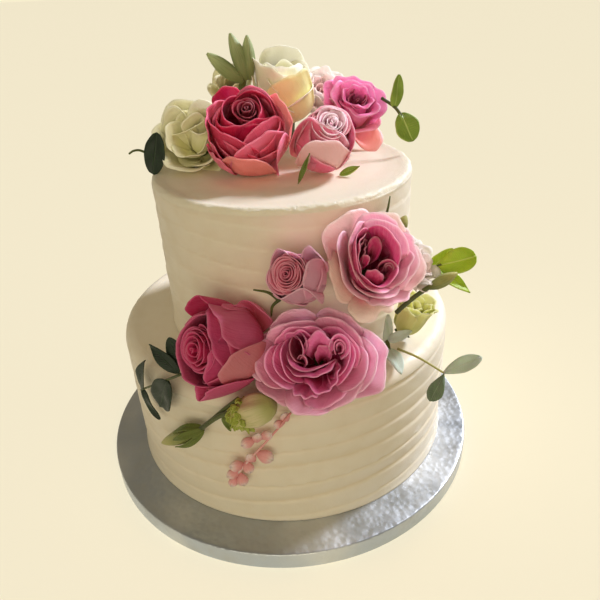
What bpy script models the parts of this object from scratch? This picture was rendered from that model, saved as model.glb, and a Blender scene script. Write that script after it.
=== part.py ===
"""A two-tier buttercream cake on a round foil board, dressed with roses, buds and leaves.

Lengths are in metres and +Z is up. The board's underside lies on z = 0 and its centre on the Z axis.
Every flower is a fused set of curved petals round a core, worked out from its radius and height.
"""

from math import atan2, cos, floor, pi, radians, sin

import bmesh
import bpy
from mathutils import Matrix, Vector

MM = 0.001

# Sizes of the board and the tiers, in millimetres.
BOARD_RADIUS = 127.0
BOARD_THICKNESS = 12.0
BOARD_EDGE = 0.8
LOWER = {"centre": (2.0, 4.0), "radius": 107.5, "low": 12.3, "high": 103.0, "edge": 7.0, "ridges": 6}
UPPER = {"centre": (5.0, 3.6), "radius": 77.5, "low": 103.3, "high": 197.0, "edge": 3.0, "ridges": 7}
RIDGE_DEPTH = 1.1
BASE_SWELL = 1.0
ROUND_STEPS = 42

PETAL_THICKNESS = 1.5
LEAF_THICKNESS = 1.1
CLEARANCE = 0.35
FLOWER_SHARE = 0.32


def frac_noise(i, j):
    """A repeatable value from -1 to 1 for the petal i of the layer j."""
    x = sin(12.9898 * (i + 1) + 78.233 * (j + 1)) * 43758.5453
    return 2.0 * (x - floor(x)) - 1.0


def bezier(p0, p1, p2, p3, t):
    """A point on a cubic curve. Past either end it goes on along the tangent."""
    if t > 1.0:
        return p3 + 3.0 * (t - 1.0) * (p3 - p2)
    s = 1.0 - t
    return p0 * s**3 + 3.0 * p1 * s * s * t + 3.0 * p2 * s * t * t + p3 * t**3


def new_object(name, bm, collection=None):
    """Turns a bmesh, drawn in millimetres, into an object in metres with its faces out."""
    bmesh.ops.recalc_face_normals(bm, faces=bm.faces)
    bmesh.ops.scale(bm, vec=(MM, MM, MM), verts=bm.verts)
    mesh = bpy.data.meshes.new(name)
    bm.to_mesh(mesh)
    bm.free()
    obj = bpy.data.objects.new(name, mesh)
    (collection or bpy.context.scene.collection).objects.link(obj)
    return obj


def apply_modifiers(obj):
    graph = bpy.context.evaluated_depsgraph_get()
    mesh = bpy.data.meshes.new_from_object(obj.evaluated_get(graph))
    old = obj.data
    obj.modifiers.clear()
    obj.data = mesh
    bpy.data.meshes.remove(old)


def thicken(obj, thickness):
    """Makes a thin surface a solid, with its two faces split into triangles alike."""
    split = obj.modifiers.new("split", "TRIANGULATE")
    split.quad_method = "FIXED"
    solid = obj.modifiers.new("solid", "SOLIDIFY")
    solid.thickness = thickness * MM
    solid.offset = 0.0
    apply_modifiers(obj)


def signed_volume(faces):
    total = 0.0
    for face in faces:
        first = face.verts[0].co
        for a, b in zip(face.verts[1:], face.verts[2:]):
            total += first.dot(a.co.cross(b.co)) / 6.0
    return total


def keep_main_body(obj):
    """Fills hollows that fusing sealed and drops loose scraps: only the largest closed shell stays."""
    bm = bmesh.new()
    bm.from_mesh(obj.data)
    bmesh.ops.triangulate(bm, faces=bm.faces)
    left = set(bm.faces)
    shells = []
    while left:
        seed = left.pop()
        shell = {seed}
        front = [seed]
        while front:
            face = front.pop()
            for edge in face.edges:
                for other in edge.link_faces:
                    if other in left:
                        left.discard(other)
                        shell.add(other)
                        front.append(other)
        shells.append(shell)
    best = max(shells, key=signed_volume)
    loose = [face for face in bm.faces if face not in best]
    bmesh.ops.delete(bm, geom=loose, context="FACES")
    bm.to_mesh(obj.data)
    bm.free()


def fuse(name, pieces):
    """Joins overlapping solids into one with a single Boolean union."""
    base = pieces[0]
    base.name = name
    if len(pieces) > 1:
        group = bpy.data.collections.new(name + "_pieces")
        bpy.context.scene.collection.children.link(group)
        for piece in pieces[1:]:
            bpy.context.scene.collection.objects.unlink(piece)
            group.objects.link(piece)
        join = base.modifiers.new("join", "BOOLEAN")
        join.operation = "UNION"
        join.operand_type = "COLLECTION"
        join.collection = group
        join.solver = "MANIFOLD"
        apply_modifiers(base)
        for piece in list(group.objects):
            mesh = piece.data
            bpy.data.objects.remove(piece)
            bpy.data.meshes.remove(mesh)
        bpy.data.collections.remove(group)
    keep_main_body(base)
    return base


def cut(obj, cutter):
    """Takes the cutter's room out of obj and keeps what is left in one body."""
    trim = obj.modifiers.new("trim", "BOOLEAN")
    trim.operation = "DIFFERENCE"
    trim.object = cutter
    trim.solver = "MANIFOLD"
    apply_modifiers(obj)
    keep_main_body(obj)


def lighten(obj, share):
    """Collapses short edges until only this share of the triangles is left."""
    fewer = obj.modifiers.new("fewer", "DECIMATE")
    fewer.decimate_type = "COLLAPSE"
    fewer.ratio = share
    apply_modifiers(obj)
    keep_main_body(obj)


def hull_cutter(obj, gap):
    """A closed convex cutter just larger than obj."""
    bm = bmesh.new()
    bm.from_mesh(obj.data)
    found = bmesh.ops.convex_hull(bm, input=bm.verts)
    keep = {g for g in found["geom"] if isinstance(g, bmesh.types.BMFace)}
    bmesh.ops.delete(bm, geom=[f for f in bm.faces if f not in keep], context="FACES")
    bmesh.ops.delete(bm, geom=[v for v in bm.verts if not v.link_faces], context="VERTS")
    middle = sum((v.co for v in bm.verts), Vector()) / len(bm.verts)
    for v in bm.verts:
        away = v.co - middle
        v.co = v.co + away.normalized() * gap * 1.6 * MM
    bmesh.ops.scale(bm, vec=(1 / MM,) * 3, verts=bm.verts)
    return new_object(obj.name + "_room", bm)


def boxes_meet(a, b):
    """Whether the upright boxes round two objects overlap."""
    for k in range(3):
        a_side = [v.co[k] for v in a.data.vertices]
        b_side = [v.co[k] for v in b.data.vertices]
        if max(a_side) < min(b_side) or max(b_side) < min(a_side):
            return False
    return True


def cylinder_cutter(name, centre, radius, low, high):
    bm = bmesh.new()
    middle = Matrix.Translation((centre[0], centre[1], (low + high) / 2))
    bmesh.ops.create_cone(
        bm, cap_ends=True, segments=96, radius1=radius, radius2=radius, depth=high - low, matrix=middle
    )
    return new_object(name, bm)


def remove_object(obj):
    mesh = obj.data
    bpy.data.objects.remove(obj)
    bpy.data.meshes.remove(mesh)


# Board and tiers


def revolve(name, profile, centre, steps):
    """Turns a profile of (radius, height) points, in millimetres, round an upright axis with a Screw."""
    bm = bmesh.new()
    points = [bm.verts.new((r, 0.0, z)) for r, z in profile]
    for a, b in zip(points, points[1:]):
        bm.edges.new((a, b))
    obj = new_object(name, bm)
    screw = obj.modifiers.new("turn", "SCREW")
    screw.axis = "Z"
    screw.angle = 2 * pi
    screw.steps = steps
    screw.render_steps = steps
    screw.use_merge_vertices = True
    screw.merge_threshold = 1e-5
    screw.use_smooth_shade = False
    apply_modifiers(obj)
    for v in obj.data.vertices:
        v.co.x += centre[0] * MM
        v.co.y += centre[1] * MM
    fixed = bmesh.new()
    fixed.from_mesh(obj.data)
    bmesh.ops.recalc_face_normals(fixed, faces=fixed.faces)
    fixed.to_mesh(obj.data)
    fixed.free()
    return obj


def build_board():
    r, t, e = BOARD_RADIUS, BOARD_THICKNESS, BOARD_EDGE
    profile = [(0, 0), (r - e, 0), (r, e), (r, t - e), (r - e, t), (0, t)]
    return revolve("cake_board", profile, (0.0, 0.0), 64)


def tier_profile(size):
    """Palette-knife bands: each is pressed in at its lower edge and stands out at its middle."""
    r, low, high, edge = size["radius"], size["low"], size["high"], size["edge"]
    band = (high - edge - low) / size["ridges"]
    profile = [(0.0, low), (r + BASE_SWELL - 0.8, low), (r + BASE_SWELL, low + 1.0)]
    for i in range(size["ridges"]):
        foot = low + i * band
        swell = BASE_SWELL * (1 - i / size["ridges"]) ** 2
        if i:
            profile.append((r - RIDGE_DEPTH + swell, foot))
        profile.append((r + swell, foot + 0.55 * band))
    profile.append((r - 0.4, high - edge))
    for k in range(1, 4):
        turn = k * pi / 6
        profile.append((r - 0.4 - edge * (1 - cos(turn)), high - edge + edge * sin(turn)))
    profile.append((0.0, high))
    return profile


def build_tier(name, size):
    return revolve(name, tier_profile(size), size["centre"], ROUND_STEPS)


# Petals and flower heads


def petal(layer, i, number, radius, height):
    """One curved petal of a head whose axis is +Z. Returns its surface as a bmesh.

    Across the petal u runs from -1 to 1 and turns round the axis. Along it v runs from the foot to the rim.
    """
    turn = radians(layer["start"] + 360.0 * i / layer["n"] + 6.0 * frac_noise(i, number))
    tall = 1.0 + 0.04 * frac_noise(i + 7, number)
    foot = Vector((layer.get("r0", 0.35 * layer["r1"]) * radius, layer.get("z0", 0.2) * height))
    rim = Vector((layer["r1"] * radius, layer["z1"] * height * tall))
    reach = (rim - foot).length * layer.get("bulge", 0.42)
    lean0, lean1 = radians(layer.get("lean0", 50)), radians(layer["lean1"])
    p1 = foot + reach * Vector((sin(lean0), cos(lean0)))
    p2 = rim - reach * Vector((sin(lean1), cos(lean1)))
    half = radians(layer["half"])
    nu, nv = layer.get("grid", (3, 2))
    bm = bmesh.new()
    bmesh.ops.create_grid(bm, x_segments=nu, y_segments=nv, size=1.0)
    for vert in bm.verts:
        u, v = vert.co.x, (vert.co.y + 1.0) / 2.0
        along = v * (1.0 - layer.get("round", 0.22) * abs(u) ** 2.5)
        along += layer.get("point", 0.0) * v * v * max(0.0, 1.0 - 2.2 * abs(u))
        place = bezier(foot, p1, p2, rim, along)
        wide = 0.55 + 0.45 * sin(pi / 2 * min(1.0, v / 0.5))
        roll = layer.get("roll", 0.0) * max(0.0, (v - 0.6) / 0.4) ** 2 * (0.35 + 0.65 * abs(u) ** 1.5)
        swing = sin(layer.get("waves", 2) * pi * u + 5.0 * frac_noise(i, number + 3))
        wave = layer.get("wave", 0.0) * v**3 * swing
        r = place.x * (1.0 + layer.get("spiral", 0.06) * u) + roll + wave
        z = place.y - 0.6 * roll
        angle = turn + half * wide * u
        vert.co = Vector((r * cos(angle), r * sin(angle), z))
    return bm


def ovoid(name, centre, radius, half_height, segments=10, rings=6):
    bm = bmesh.new()
    bmesh.ops.create_uvsphere(bm, u_segments=segments, v_segments=rings, radius=1.0)
    bmesh.ops.scale(bm, vec=(radius, radius, half_height), verts=bm.verts)
    bmesh.ops.translate(bm, vec=centre, verts=bm.verts)
    return new_object(name, bm)


def tube(name, points, radius, sides=6, tip=1.0):
    """A round stem along the points, with flat ends. Its far end is tip times as thick."""
    bm = bmesh.new()
    path = [Vector(p) for p in points]
    rings = []
    for k, here in enumerate(path):
        ahead = path[min(k + 1, len(path) - 1)] - path[max(k - 1, 0)]
        ahead.normalize()
        side = ahead.cross(Vector((0.31, 0.22, 0.93))).normalized()
        up = side.cross(ahead)
        r = radius * (1.0 + (tip - 1.0) * k / (len(path) - 1))
        ring = []
        for s in range(sides):
            a = 2 * pi * s / sides
            ring.append(bm.verts.new(here + r * (cos(a) * side + sin(a) * up)))
        rings.append(ring)
    for low, high in zip(rings, rings[1:]):
        for s in range(sides):
            bm.faces.new((low[s], low[(s + 1) % sides], high[(s + 1) % sides], high[s]))
    bm.faces.new(rings[0][::-1])
    bm.faces.new(rings[-1])
    return new_object(name, bm)


def leaf(name, base, tip, width, facing, bend=0.0, fold=0.12, blunt=0.8, grid=(2, 4), wavy=0.5):
    """A thin, slightly wavy leaf from base to tip whose upper side faces facing."""
    base, tip, facing = Vector(base), Vector(tip), Vector(facing)
    run = tip - base
    length = run.length
    along = run.normalized()
    across = along.cross(facing).normalized()
    up = across.cross(along)
    bm = bmesh.new()
    bmesh.ops.create_grid(bm, x_segments=grid[0], y_segments=grid[1], size=1.0)
    for vert in bm.verts:
        u, v = vert.co.x, (vert.co.y + 1.0) / 2.0
        half = width / 2 * (0.12 + 0.88 * max(0.0, sin(pi * v**blunt)) ** 0.75)
        if v > 0.99:
            half = width * 0.05
        lift = bend * length * sin(pi * v) + fold * abs(u) * half + wavy * sin(7.0 * v + 2.0 * u)
        vert.co = base + along * (v * length) + across * (u * half) + up * lift
    obj = new_object(name, bm)
    thicken(obj, LEAF_THICKNESS)
    return obj


CLOSED_BUD = ((0.0, 0.35), (0.22, 0.85), (0.5, 1.0), (0.8, 0.7), (1.0, 0.2))


def spindle(name, base, tip, radius, sides=8, profile=CLOSED_BUD):
    """A closed bud from base to tip, as round rings along a straight line."""
    base, tip = Vector(base), Vector(tip)
    run = tip - base
    bm = bmesh.new()
    side = run.normalized().cross(Vector((0.2, 0.1, 1.0))).normalized()
    up = side.cross(run.normalized())
    rings = []
    for share, wide in profile:
        ring = []
        for s in range(sides):
            a = 2 * pi * s / sides
            ring.append(bm.verts.new(base + run * share + radius * wide * (cos(a) * side + sin(a) * up)))
        rings.append(ring)
    for low, high in zip(rings, rings[1:]):
        for s in range(sides):
            bm.faces.new((low[s], low[(s + 1) % sides], high[(s + 1) % sides], high[s]))
    bm.faces.new(rings[0][::-1])
    bm.faces.new(rings[-1])
    return new_object(name, bm)


def aim(azimuth, elevation, spin):
    """The turn that takes +Z to a direction. Azimuth is from the front (-Y) towards +X."""
    a, e = radians(azimuth), radians(elevation)
    axis = Vector((sin(a) * cos(e), -cos(a) * cos(e), sin(e)))
    turn = Vector((0.0, 0.0, 1.0)).rotation_difference(axis)
    return turn.to_matrix().to_4x4() @ Matrix.Rotation(radians(spin), 4, "Z")


def move(obj, matrix):
    obj.data.transform(matrix)


def flower(name, layers, centre, azimuth, elevation, radius, height, spin=0.0, core=(0.6, 0.4), stem=0.0):
    """A flower head: petals fused with a core, a green cup under it and a short stem."""
    pieces = [ovoid(name, (0, 0, core[1] * height), core[0] * radius, core[1] * height)]
    for number, layer in enumerate(layers):
        for i in range(layer["n"]):
            piece = new_object("petal", petal(layer, i, number, radius, height))
            thicken(piece, layer.get("thick", PETAL_THICKNESS))
            pieces.append(piece)
    cup = max(3.0, 0.2 * radius)
    pieces.append(tube("stem", [(0, 0, 0.12 * height), (0, 0, -1.0 - stem)], cup, sides=8, tip=0.45))
    obj = fuse(name, pieces)
    place = Matrix.Translation(Vector(centre) * MM) @ aim(azimuth, elevation, spin)
    move(obj, place @ Matrix.Translation((0, 0, -0.5 * height * MM)))
    lighten(obj, FLOWER_SHARE)
    return obj


OPEN_BUD = ((0.0, 0.4), (0.15, 0.85), (0.45, 1.0), (0.75, 0.85), (1.0, 0.6))
FRILL = ((0.0, 0.5), (0.6, 1.0), (1.0, 0.8))
SEEDS = (
    (-9, -110, 90),
    (-13.5, -109.5, 86),
    (-19, -109, 81),
    (-24, -107.5, 77),
    (-20, -108.5, 72),
    (-27, -107, 69),
    (-30, -106, 63),
    (-35, -104.5, 57),
)

BOWL = {"r0": 0.12, "z0": 0.04, "lean0": 84}

CLASSIC_ROSE = [
    {"n": 2, "start": 20, "r1": 0.14, "z1": 0.86, "lean1": -6, "half": 95, "spiral": 0.25, "grid": (3, 2)},
    {"n": 3, "start": 60, "r1": 0.32, "z1": 0.91, "lean1": -4, "half": 78, "spiral": 0.12},
    {"n": 3, "start": 15, "r1": 0.54, "z1": 0.96, "lean1": 2, "half": 72, "spiral": 0.10},
    {"n": 4, "start": 80, "r1": 0.77, "z1": 0.93, "lean1": 10, "half": 56, "spiral": 0.07, "lean0": 70},
    {**BOWL, "n": 5, "start": 10, "r1": 0.97, "z1": 0.80, "lean1": 16, "half": 47, "roll": 1.5,
     "grid": (4, 3), "bulge": 0.5},
]

GARDEN_ROSE = [
    {"n": 3, "start": 0, "r1": 0.20, "z1": 0.74, "lean1": -10, "half": 60, "spiral": 0.2, "grid": (3, 2)},
    {"n": 4, "start": 30, "r1": 0.36, "z1": 0.84, "lean1": 0, "half": 52, "spiral": 0.12},
    {"n": 4, "start": 75, "r1": 0.52, "z1": 0.90, "lean1": 6, "half": 52, "spiral": 0.10},
    {"n": 5, "start": 20, "r1": 0.68, "z1": 0.92, "lean1": 14, "half": 44, "spiral": 0.08, "lean0": 70},
    {"n": 5, "start": 50, "r1": 0.83, "z1": 0.86, "lean1": 26, "half": 44, "spiral": 0.06, "lean0": 75},
    {**BOWL, "n": 6, "start": 5, "r1": 0.99, "z1": 0.70, "lean1": 36, "half": 40, "grid": (4, 3),
     "bulge": 0.45},
]

CUPPED_ROSE = [
    {"n": 3, "start": 0, "r1": 0.22, "z1": 0.80, "lean1": -8, "half": 70, "spiral": 0.3, "grid": (3, 2)},
    {"n": 3, "start": 40, "r1": 0.42, "z1": 0.88, "lean1": -6, "half": 60, "spiral": 0.15},
    {"n": 4, "start": 10, "r1": 0.62, "z1": 1.00, "lean1": -2, "half": 56, "spiral": 0.08, "lean0": 70},
    {"n": 5, "start": 60, "r1": 0.82, "z1": 0.92, "lean1": 14, "half": 46, "spiral": 0.06, "lean0": 76},
    {**BOWL, "n": 5, "start": 20, "r1": 1.0, "z1": 0.76, "lean1": 28, "half": 46, "grid": (4, 3),
     "bulge": 0.48},
]

BUD_ROSE = [
    {"n": 3, "start": 0, "r1": 0.20, "z1": 0.97, "lean1": -12, "half": 75, "spiral": 0.2, "grid": (3, 2)},
    {"n": 3, "start": 50, "r1": 0.44, "z1": 0.98, "lean1": -20, "half": 72, "spiral": 0.12, "lean0": 70},
    {**BOWL, "n": 3, "start": 20, "r1": 0.66, "z1": 0.93, "lean1": -30, "half": 72, "spiral": 0.08,
     "bulge": 0.62, "grid": (4, 3)},
    {**BOWL, "n": 3, "start": 80, "r1": 0.86, "z1": 0.74, "lean1": -10, "half": 62, "spiral": 0.06,
     "bulge": 0.6, "grid": (4, 3)},
]

OPEN_ROSE = [
    {"n": 3, "start": 0, "r1": 0.20, "z1": 0.70, "lean1": -8, "half": 70, "spiral": 0.2, "grid": (3, 2)},
    {"n": 4, "start": 45, "r1": 0.48, "z1": 0.86, "lean1": 4, "half": 58, "spiral": 0.12},
    {"n": 5, "start": 0, "r1": 0.76, "z1": 0.90, "lean1": 22, "half": 46, "spiral": 0.08, "lean0": 70,
     "wave": 1.0},
    {**BOWL, "n": 5, "start": 30, "r1": 0.98, "z1": 0.72, "lean1": 34, "half": 46, "grid": (4, 3),
     "wave": 1.0},
]

GOBLET_ROSE = [
    {"n": 3, "start": 0, "r1": 0.28, "z1": 0.88, "lean1": -10, "half": 70, "spiral": 0.15, "grid": (3, 2)},
    {"n": 3, "start": 60, "r1": 0.60, "z1": 0.98, "lean1": 6, "half": 66, "spiral": 0.10, "point": 0.06},
    {**BOWL, "n": 4, "start": 15, "r1": 0.92, "z1": 0.88, "lean1": 22, "half": 56, "grid": (4, 3),
     "point": 0.05, "roll": 1.5},
]

RUFFLED_BLOOM = [
    {"n": 3, "start": 0, "r1": 0.30, "z1": 0.84, "lean1": 0, "half": 60, "wave": 1.2, "waves": 3},
    {"n": 4, "start": 40, "r1": 0.64, "z1": 0.92, "lean1": 24, "half": 52, "wave": 1.8, "waves": 3,
     "lean0": 40},
    {"n": 5, "start": 0, "r1": 0.98, "z1": 0.78, "lean1": 46, "half": 46, "wave": 2.0, "waves": 3,
     "lean0": 55, "z0": 0.04, "grid": (5, 3)},
]

TRUMPET_BLOOM = [
    {"n": 3, "start": 0, "r1": 0.45, "z1": 0.92, "lean1": 6, "half": 72, "spiral": 0.12},
    {"n": 4, "start": 30, "r1": 0.95, "z1": 0.95, "lean1": 30, "half": 58, "lean0": 45, "z0": 0.04},
]

# name: layers, centre, azimuth, elevation, radius, height, spin, core, stem length.
FLOWERS = {
    "rose_cupped_ledge": (CUPPED_ROSE, (44, -89.5, 168), 16, 37, 28.5, 36.0, 10, (0.5, 0.36), 12),
    "rose_garden_ledge": (GARDEN_ROSE, (14, -101, 126), -5, 41, 30.0, 33.0, 0, (0.6, 0.36), 8),
    "bud_pink_ledge": (BUD_ROSE, (6.5, -90, 167), -26, 29, 17.0, 29.0, 0, (0.62, 0.42), 10),
    "rose_coral_ledge": (CLASSIC_ROSE, (-35.5, -89.5, 130), -48, 26, 25.0, 43.0, 30, (0.6, 0.4), 4),
    "rose_deep_pink_top": (CLASSIC_ROSE, (-12.5, -12.5, 220), 0, 43, 23.8, 40.0, 0, (0.6, 0.4), 4),
    "bud_pale_pink_top": (BUD_ROSE, (27.5, -22, 215), 16, 45, 20.0, 33.0, 40, (0.62, 0.42), 2),
    "rose_bright_pink_top": (OPEN_ROSE, (51.5, 23, 216.5), 2, 27, 24.5, 33.0, 0, (0.6, 0.36), 8),
    "rose_white_top": (GOBLET_ROSE, (11, 25, 235), -8, 52, 22.0, 42.0, 25, (0.6, 0.4), 16),
    "bloom_white_top": (RUFFLED_BLOOM, (-46, 9, 212.5), -16, 34, 27.0, 34.0, 0, (0.5, 0.36), 4),
    "rose_blush_back": (OPEN_ROSE, (35, 47, 227), 15, 50, 17.0, 30.0, 15, (0.6, 0.36), 14),
    "rose_cream_back": (GOBLET_ROSE, (-20.5, 44, 232), -15, 48, 14.0, 32.0, 0, (0.6, 0.4), 14),
    "bloom_cream_right": (TRUMPET_BLOOM, (73, -56, 119), 60, 70, 12.0, 26.0, 0, (0.4, 0.36), 0),
    "flower_peach_right": (OPEN_ROSE, (71, -58, 152), 55, 30, 15.0, 28.0, 0, (0.55, 0.36), 4),
}

# Which flowers press into which: the later name gives way to the earlier ones.
PRESSED = {
    "rose_garden_ledge": ("rose_cupped_ledge",),
    "bud_pink_ledge": ("rose_cupped_ledge", "rose_garden_ledge"),
    "rose_coral_ledge": ("rose_garden_ledge", "bud_pink_ledge"),
    "flower_peach_right": ("rose_cupped_ledge",),
    "bloom_cream_right": ("rose_cupped_ledge", "flower_peach_right"),
    "bud_pale_pink_top": ("rose_deep_pink_top",),
    "rose_white_top": ("rose_deep_pink_top", "bud_pale_pink_top"),
    "rose_bright_pink_top": ("bud_pale_pink_top", "rose_white_top"),
    "bloom_white_top": ("rose_deep_pink_top", "rose_white_top"),
    "rose_blush_back": ("rose_white_top", "rose_bright_pink_top"),
    "rose_cream_back": ("rose_white_top", "bloom_white_top", "rose_deep_pink_top"),
}


def build_flowers():
    made = {}
    for name, row in FLOWERS.items():
        layers, centre, azimuth, elevation, radius, height, spin, core, stem = row
        made[name] = flower(name, layers, centre, azimuth, elevation, radius, height, spin, core, stem)
    return made


# Buds, sprigs and leaves


def build_greens():
    """Each entry is one body: stems, buds and leaves fused where they grow from each other."""
    made = {}
    made["bud_open_green"] = fuse(
        "bud_open_green",
        [
            spindle("bud", (-10, -113, 110), (-31, -108, 98), 8.0, 9, OPEN_BUD),
            spindle("frill", (-27, -110, 101), (-34, -107, 96), 6.2, 9, FRILL),
        ],
    )
    made["bud_closed_green"] = fuse(
        "bud_closed_green",
        [
            spindle("bud", (-50, -97.5, 83.5), (-77, -81.5, 62), 5.0),
            tube("stem", [(-52, -96.5, 82.5), (-40, -103, 96), (-26, -109, 106)], 1.4, 5, 0.9),
            tube("stem", [(-51, -97, 83), (-38, -101.5, 98), (-28, -104, 108)], 1.2, 5, 0.9),
            leaf("leaf", (-37, -104.5, 98), (-34, -104, 87), 4.0, (0, -1, 0.2), grid=(2, 3)),
        ],
    )
    sprig = [tube("stem", [(-2, -113, 103), (-14, -109.5, 86.5), (-24, -107.5, 75), (-34, -105, 56)], 1.0, 5)]
    for k, spot in enumerate(SEEDS):
        grain = ovoid("seed", (0, 0, 0), 3.0, 4.2, 6, 4)
        move(grain, Matrix.Translation(Vector(spot) * MM) @ Matrix.Rotation(0.7 * k, 4, "Y"))
        sprig.append(grain)
    made["sprig_pink"] = fuse("sprig_pink", sprig)
    out = (-0.75, -0.6, 0.3)
    made["sprig_left"] = fuse(
        "sprig_left",
        [
            tube("stem", [(-57, -91.5, 117), (-72, -80, 104), (-87, -65, 89)], 1.0, 5, 0.8),
            leaf("leaf", (-86.5, -65, 90), (-78.5, -75, 116), 9.0, out, bend=0.05),
            leaf("leaf", (-86, -65.5, 90), (-77, -75.5, 74.5), 7.0, out, bend=0.05),
            leaf("leaf", (-66, -85.5, 109), (-74, -79, 87), 18.0, (-0.7, -0.75, 0.2), bend=0.04, blunt=0.95),
        ],
    )
    made["leaves_dark_left"] = fuse(
        "leaves_dark_left",
        [
            leaf("leaf", (-59, -85, 113), (-74, -76, 127), 8.0, (-0.5, -0.75, 0.5), bend=0.05),
            leaf("leaf", (-56, -84, 115), (-63, -77, 131), 12.0, (-0.5, -0.75, 0.5), blunt=0.95, wavy=0.3),
        ],
    )
    made["bud_green_right"] = fuse(
        "bud_green_right",
        [
            tube("stem", [(67, -71, 138), (73, -70, 142), (80, -69, 146)], 1.5, 5),
            spindle("bud", (78, -69.5, 144.5), (93, -69.5, 152.5), 4.0),
        ],
    )
    side = (0.35, -0.75, 0.55)
    made["leaves_bright_right"] = fuse(
        "leaves_bright_right",
        [
            tube("stem", [(76, -51, 138), (82, -55, 147), (88, -57.5, 152)], 1.2, 5),
            leaf("leaf", (86, -57, 151), (106, -60.5, 157), 15.0, side, bend=0.06, blunt=0.9),
            leaf("leaf", (82, -54, 148), (94, -57, 161), 9.0, side, bend=0.05),
            leaf("leaf", (85, -56, 149), (103, -65, 139), 8.0, side, bend=0.05),
        ],
    )
    made["leaves_silver_ledge"] = fuse(
        "leaves_silver_ledge",
        [
            tube("stem", [(57, -60, 107.5), (57, -66, 109.5), (57, -72, 107)], 1.4, 5),
            leaf("leaf", (56.5, -66, 108), (58.5, -60, 124), 6.5, (0.3, -0.9, 0.3), bend=0.05),
            leaf("leaf", (57, -66, 110), (71, -67, 116), 6.0, (0.0, -0.8, 0.6), bend=0.05),
            leaf("leaf", (57, -70, 108), (59.5, -91, 104.6), 10.0, (0.3, -0.6, 0.7), bend=0.03, wavy=0.2),
        ],
    )
    made["sprig_right"] = fuse(
        "sprig_right",
        [
            tube("stem", [(60, -79, 113), (70, -88, 112), (81.5, -97.5, 107.5)], 0.9, 5, 0.8),
            leaf("leaf", (80.5, -97, 107.5), (100.3, -98, 116.7), 8.5, (0.1, -0.6, 0.8), bend=0.04),
            leaf("leaf", (81, -97.5, 107.5), (72.4, -104.2, 95.4), 8.0, (-0.2, -0.9, 0.4), bend=0.04),
        ],
    )
    made["leaf_top_left"] = fuse(
        "leaf_top_left",
        [
            leaf("leaf", (-71, 1, 198.5), (-66, 6, 219), 13.0, (-0.5, -0.8, 0.2), bend=0.04, blunt=0.95),
            tube("twig", [(-69, 2, 206), (-76, 2.5, 210), (-80, 1.5, 210.5), (-83, 1.2, 209)], 1.0, 5, 0.7),
        ],
    )
    made["leaves_top_right"] = fuse(
        "leaves_top_right",
        [
            tube("stem", [(68, 19, 228), (75.5, 15.7, 223), (80, 14, 217)], 1.2, 5),
            leaf("leaf", (75, 15.5, 222.5), (78, 18, 241), 8.5, (0.3, -0.9, 0.2), bend=0.04),
            leaf("leaf", (78.5, 14.5, 219.5), (86, 9, 203.5), 15.5, (0.2, -0.9, 0.3), bend=0.04, blunt=0.95),
        ],
    )
    made["buds_green_top"] = fuse(
        "buds_green_top",
        [
            tube("stem", [(-16, 34, 228), (-15, 32, 238), (-12, 31, 248)], 2.6),
            spindle("bud", (-14, 31, 240), (-34, 31, 257), 4.2),
            spindle("bud", (-12, 31, 243), (-19.5, 33, 267), 3.6),
            spindle("bud", (-10, 31.5, 244), (-9.7, 33, 265.5), 3.2),
        ],
    )
    made["sepal_top_left"] = leaf(
        "sepal_top_left", (12.7, -36.5, 199), (18.8, -37, 213), 4.0, (-0.3, -0.8, 0.5), grid=(2, 3)
    )
    made["sepal_top_right"] = leaf(
        "sepal_top_right", (37.5, -27, 199), (47, -28, 201.5), 4.5, (0.2, -0.6, 0.8), grid=(2, 3), wavy=0.2
    )
    made["tip_green_wall"] = tube(
        "tip_green_wall", [(51, -67, 180), (55, -64, 188), (57, -61, 195)], 1.2, 5, 0.35
    )
    made["bud_green_wall"] = spindle("bud_green_wall", (61, -63, 175), (66, -60, 183.5), 3.0)
    made["sepals_dark_wall"] = fuse(
        "sepals_dark_wall",
        [
            tube("stem", [(-3, -80.5, 150), (-8.5, -80, 155), (-16, -78.5, 156.5)], 1.2, 5, 0.5),
            tube("stem", [(-3, -80.5, 151), (-7, -80.5, 147), (-8, -80, 141)], 1.2, 5, 0.5),
        ],
    )
    return made


def main():
    for obj in list(bpy.data.objects):
        bpy.data.objects.remove(obj)
    build_board()
    build_tier("bottom_tier", LOWER)
    build_tier("top_tier", UPPER)
    flowers = build_flowers()
    greens = build_greens()
    rooms = {name: hull_cutter(obj, CLEARANCE) for name, obj in flowers.items()}
    lower = cylinder_cutter(
        "lower_room", LOWER["centre"], LOWER["radius"] + BASE_SWELL + CLEARANCE,
        -5.0, LOWER["high"] + CLEARANCE,
    )
    upper = cylinder_cutter(
        "upper_room", UPPER["centre"], UPPER["radius"] + BASE_SWELL + CLEARANCE,
        90.0, UPPER["high"] + CLEARANCE,
    )
    for name, others in PRESSED.items():
        for other in others:
            cut(flowers[name], rooms[other])
    for obj in greens.values():
        for room in rooms.values():
            if boxes_meet(obj, room):
                cut(obj, room)
    rooms["bud_open_green"] = hull_cutter(greens["bud_open_green"], CLEARANCE)
    cut(greens["bud_closed_green"], rooms["bud_open_green"])
    for obj in list(flowers.values()) + list(greens.values()):
        cut(obj, lower)
        cut(obj, upper)
    for room in list(rooms.values()) + [lower, upper]:
        remove_object(room)
    for obj in bpy.context.scene.objects:
        print(obj.name, sum(len(p.vertices) - 2 for p in obj.data.polygons))


main()
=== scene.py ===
"""Looks of a two-tier buttercream cake: foil board, knife-combed icing, roses, buds, leaves and sprigs.

The file is laid out as an add-on and run as a script. Lengths in the tables are millimetres, in the frame of
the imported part, and become metres when a mesh is made.
"""

from math import cos, pi, radians, sin

import bpy
import numpy as np
from bpy.props import FloatProperty, FloatVectorProperty, IntProperty, PointerProperty
from mathutils import Matrix, Vector


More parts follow.
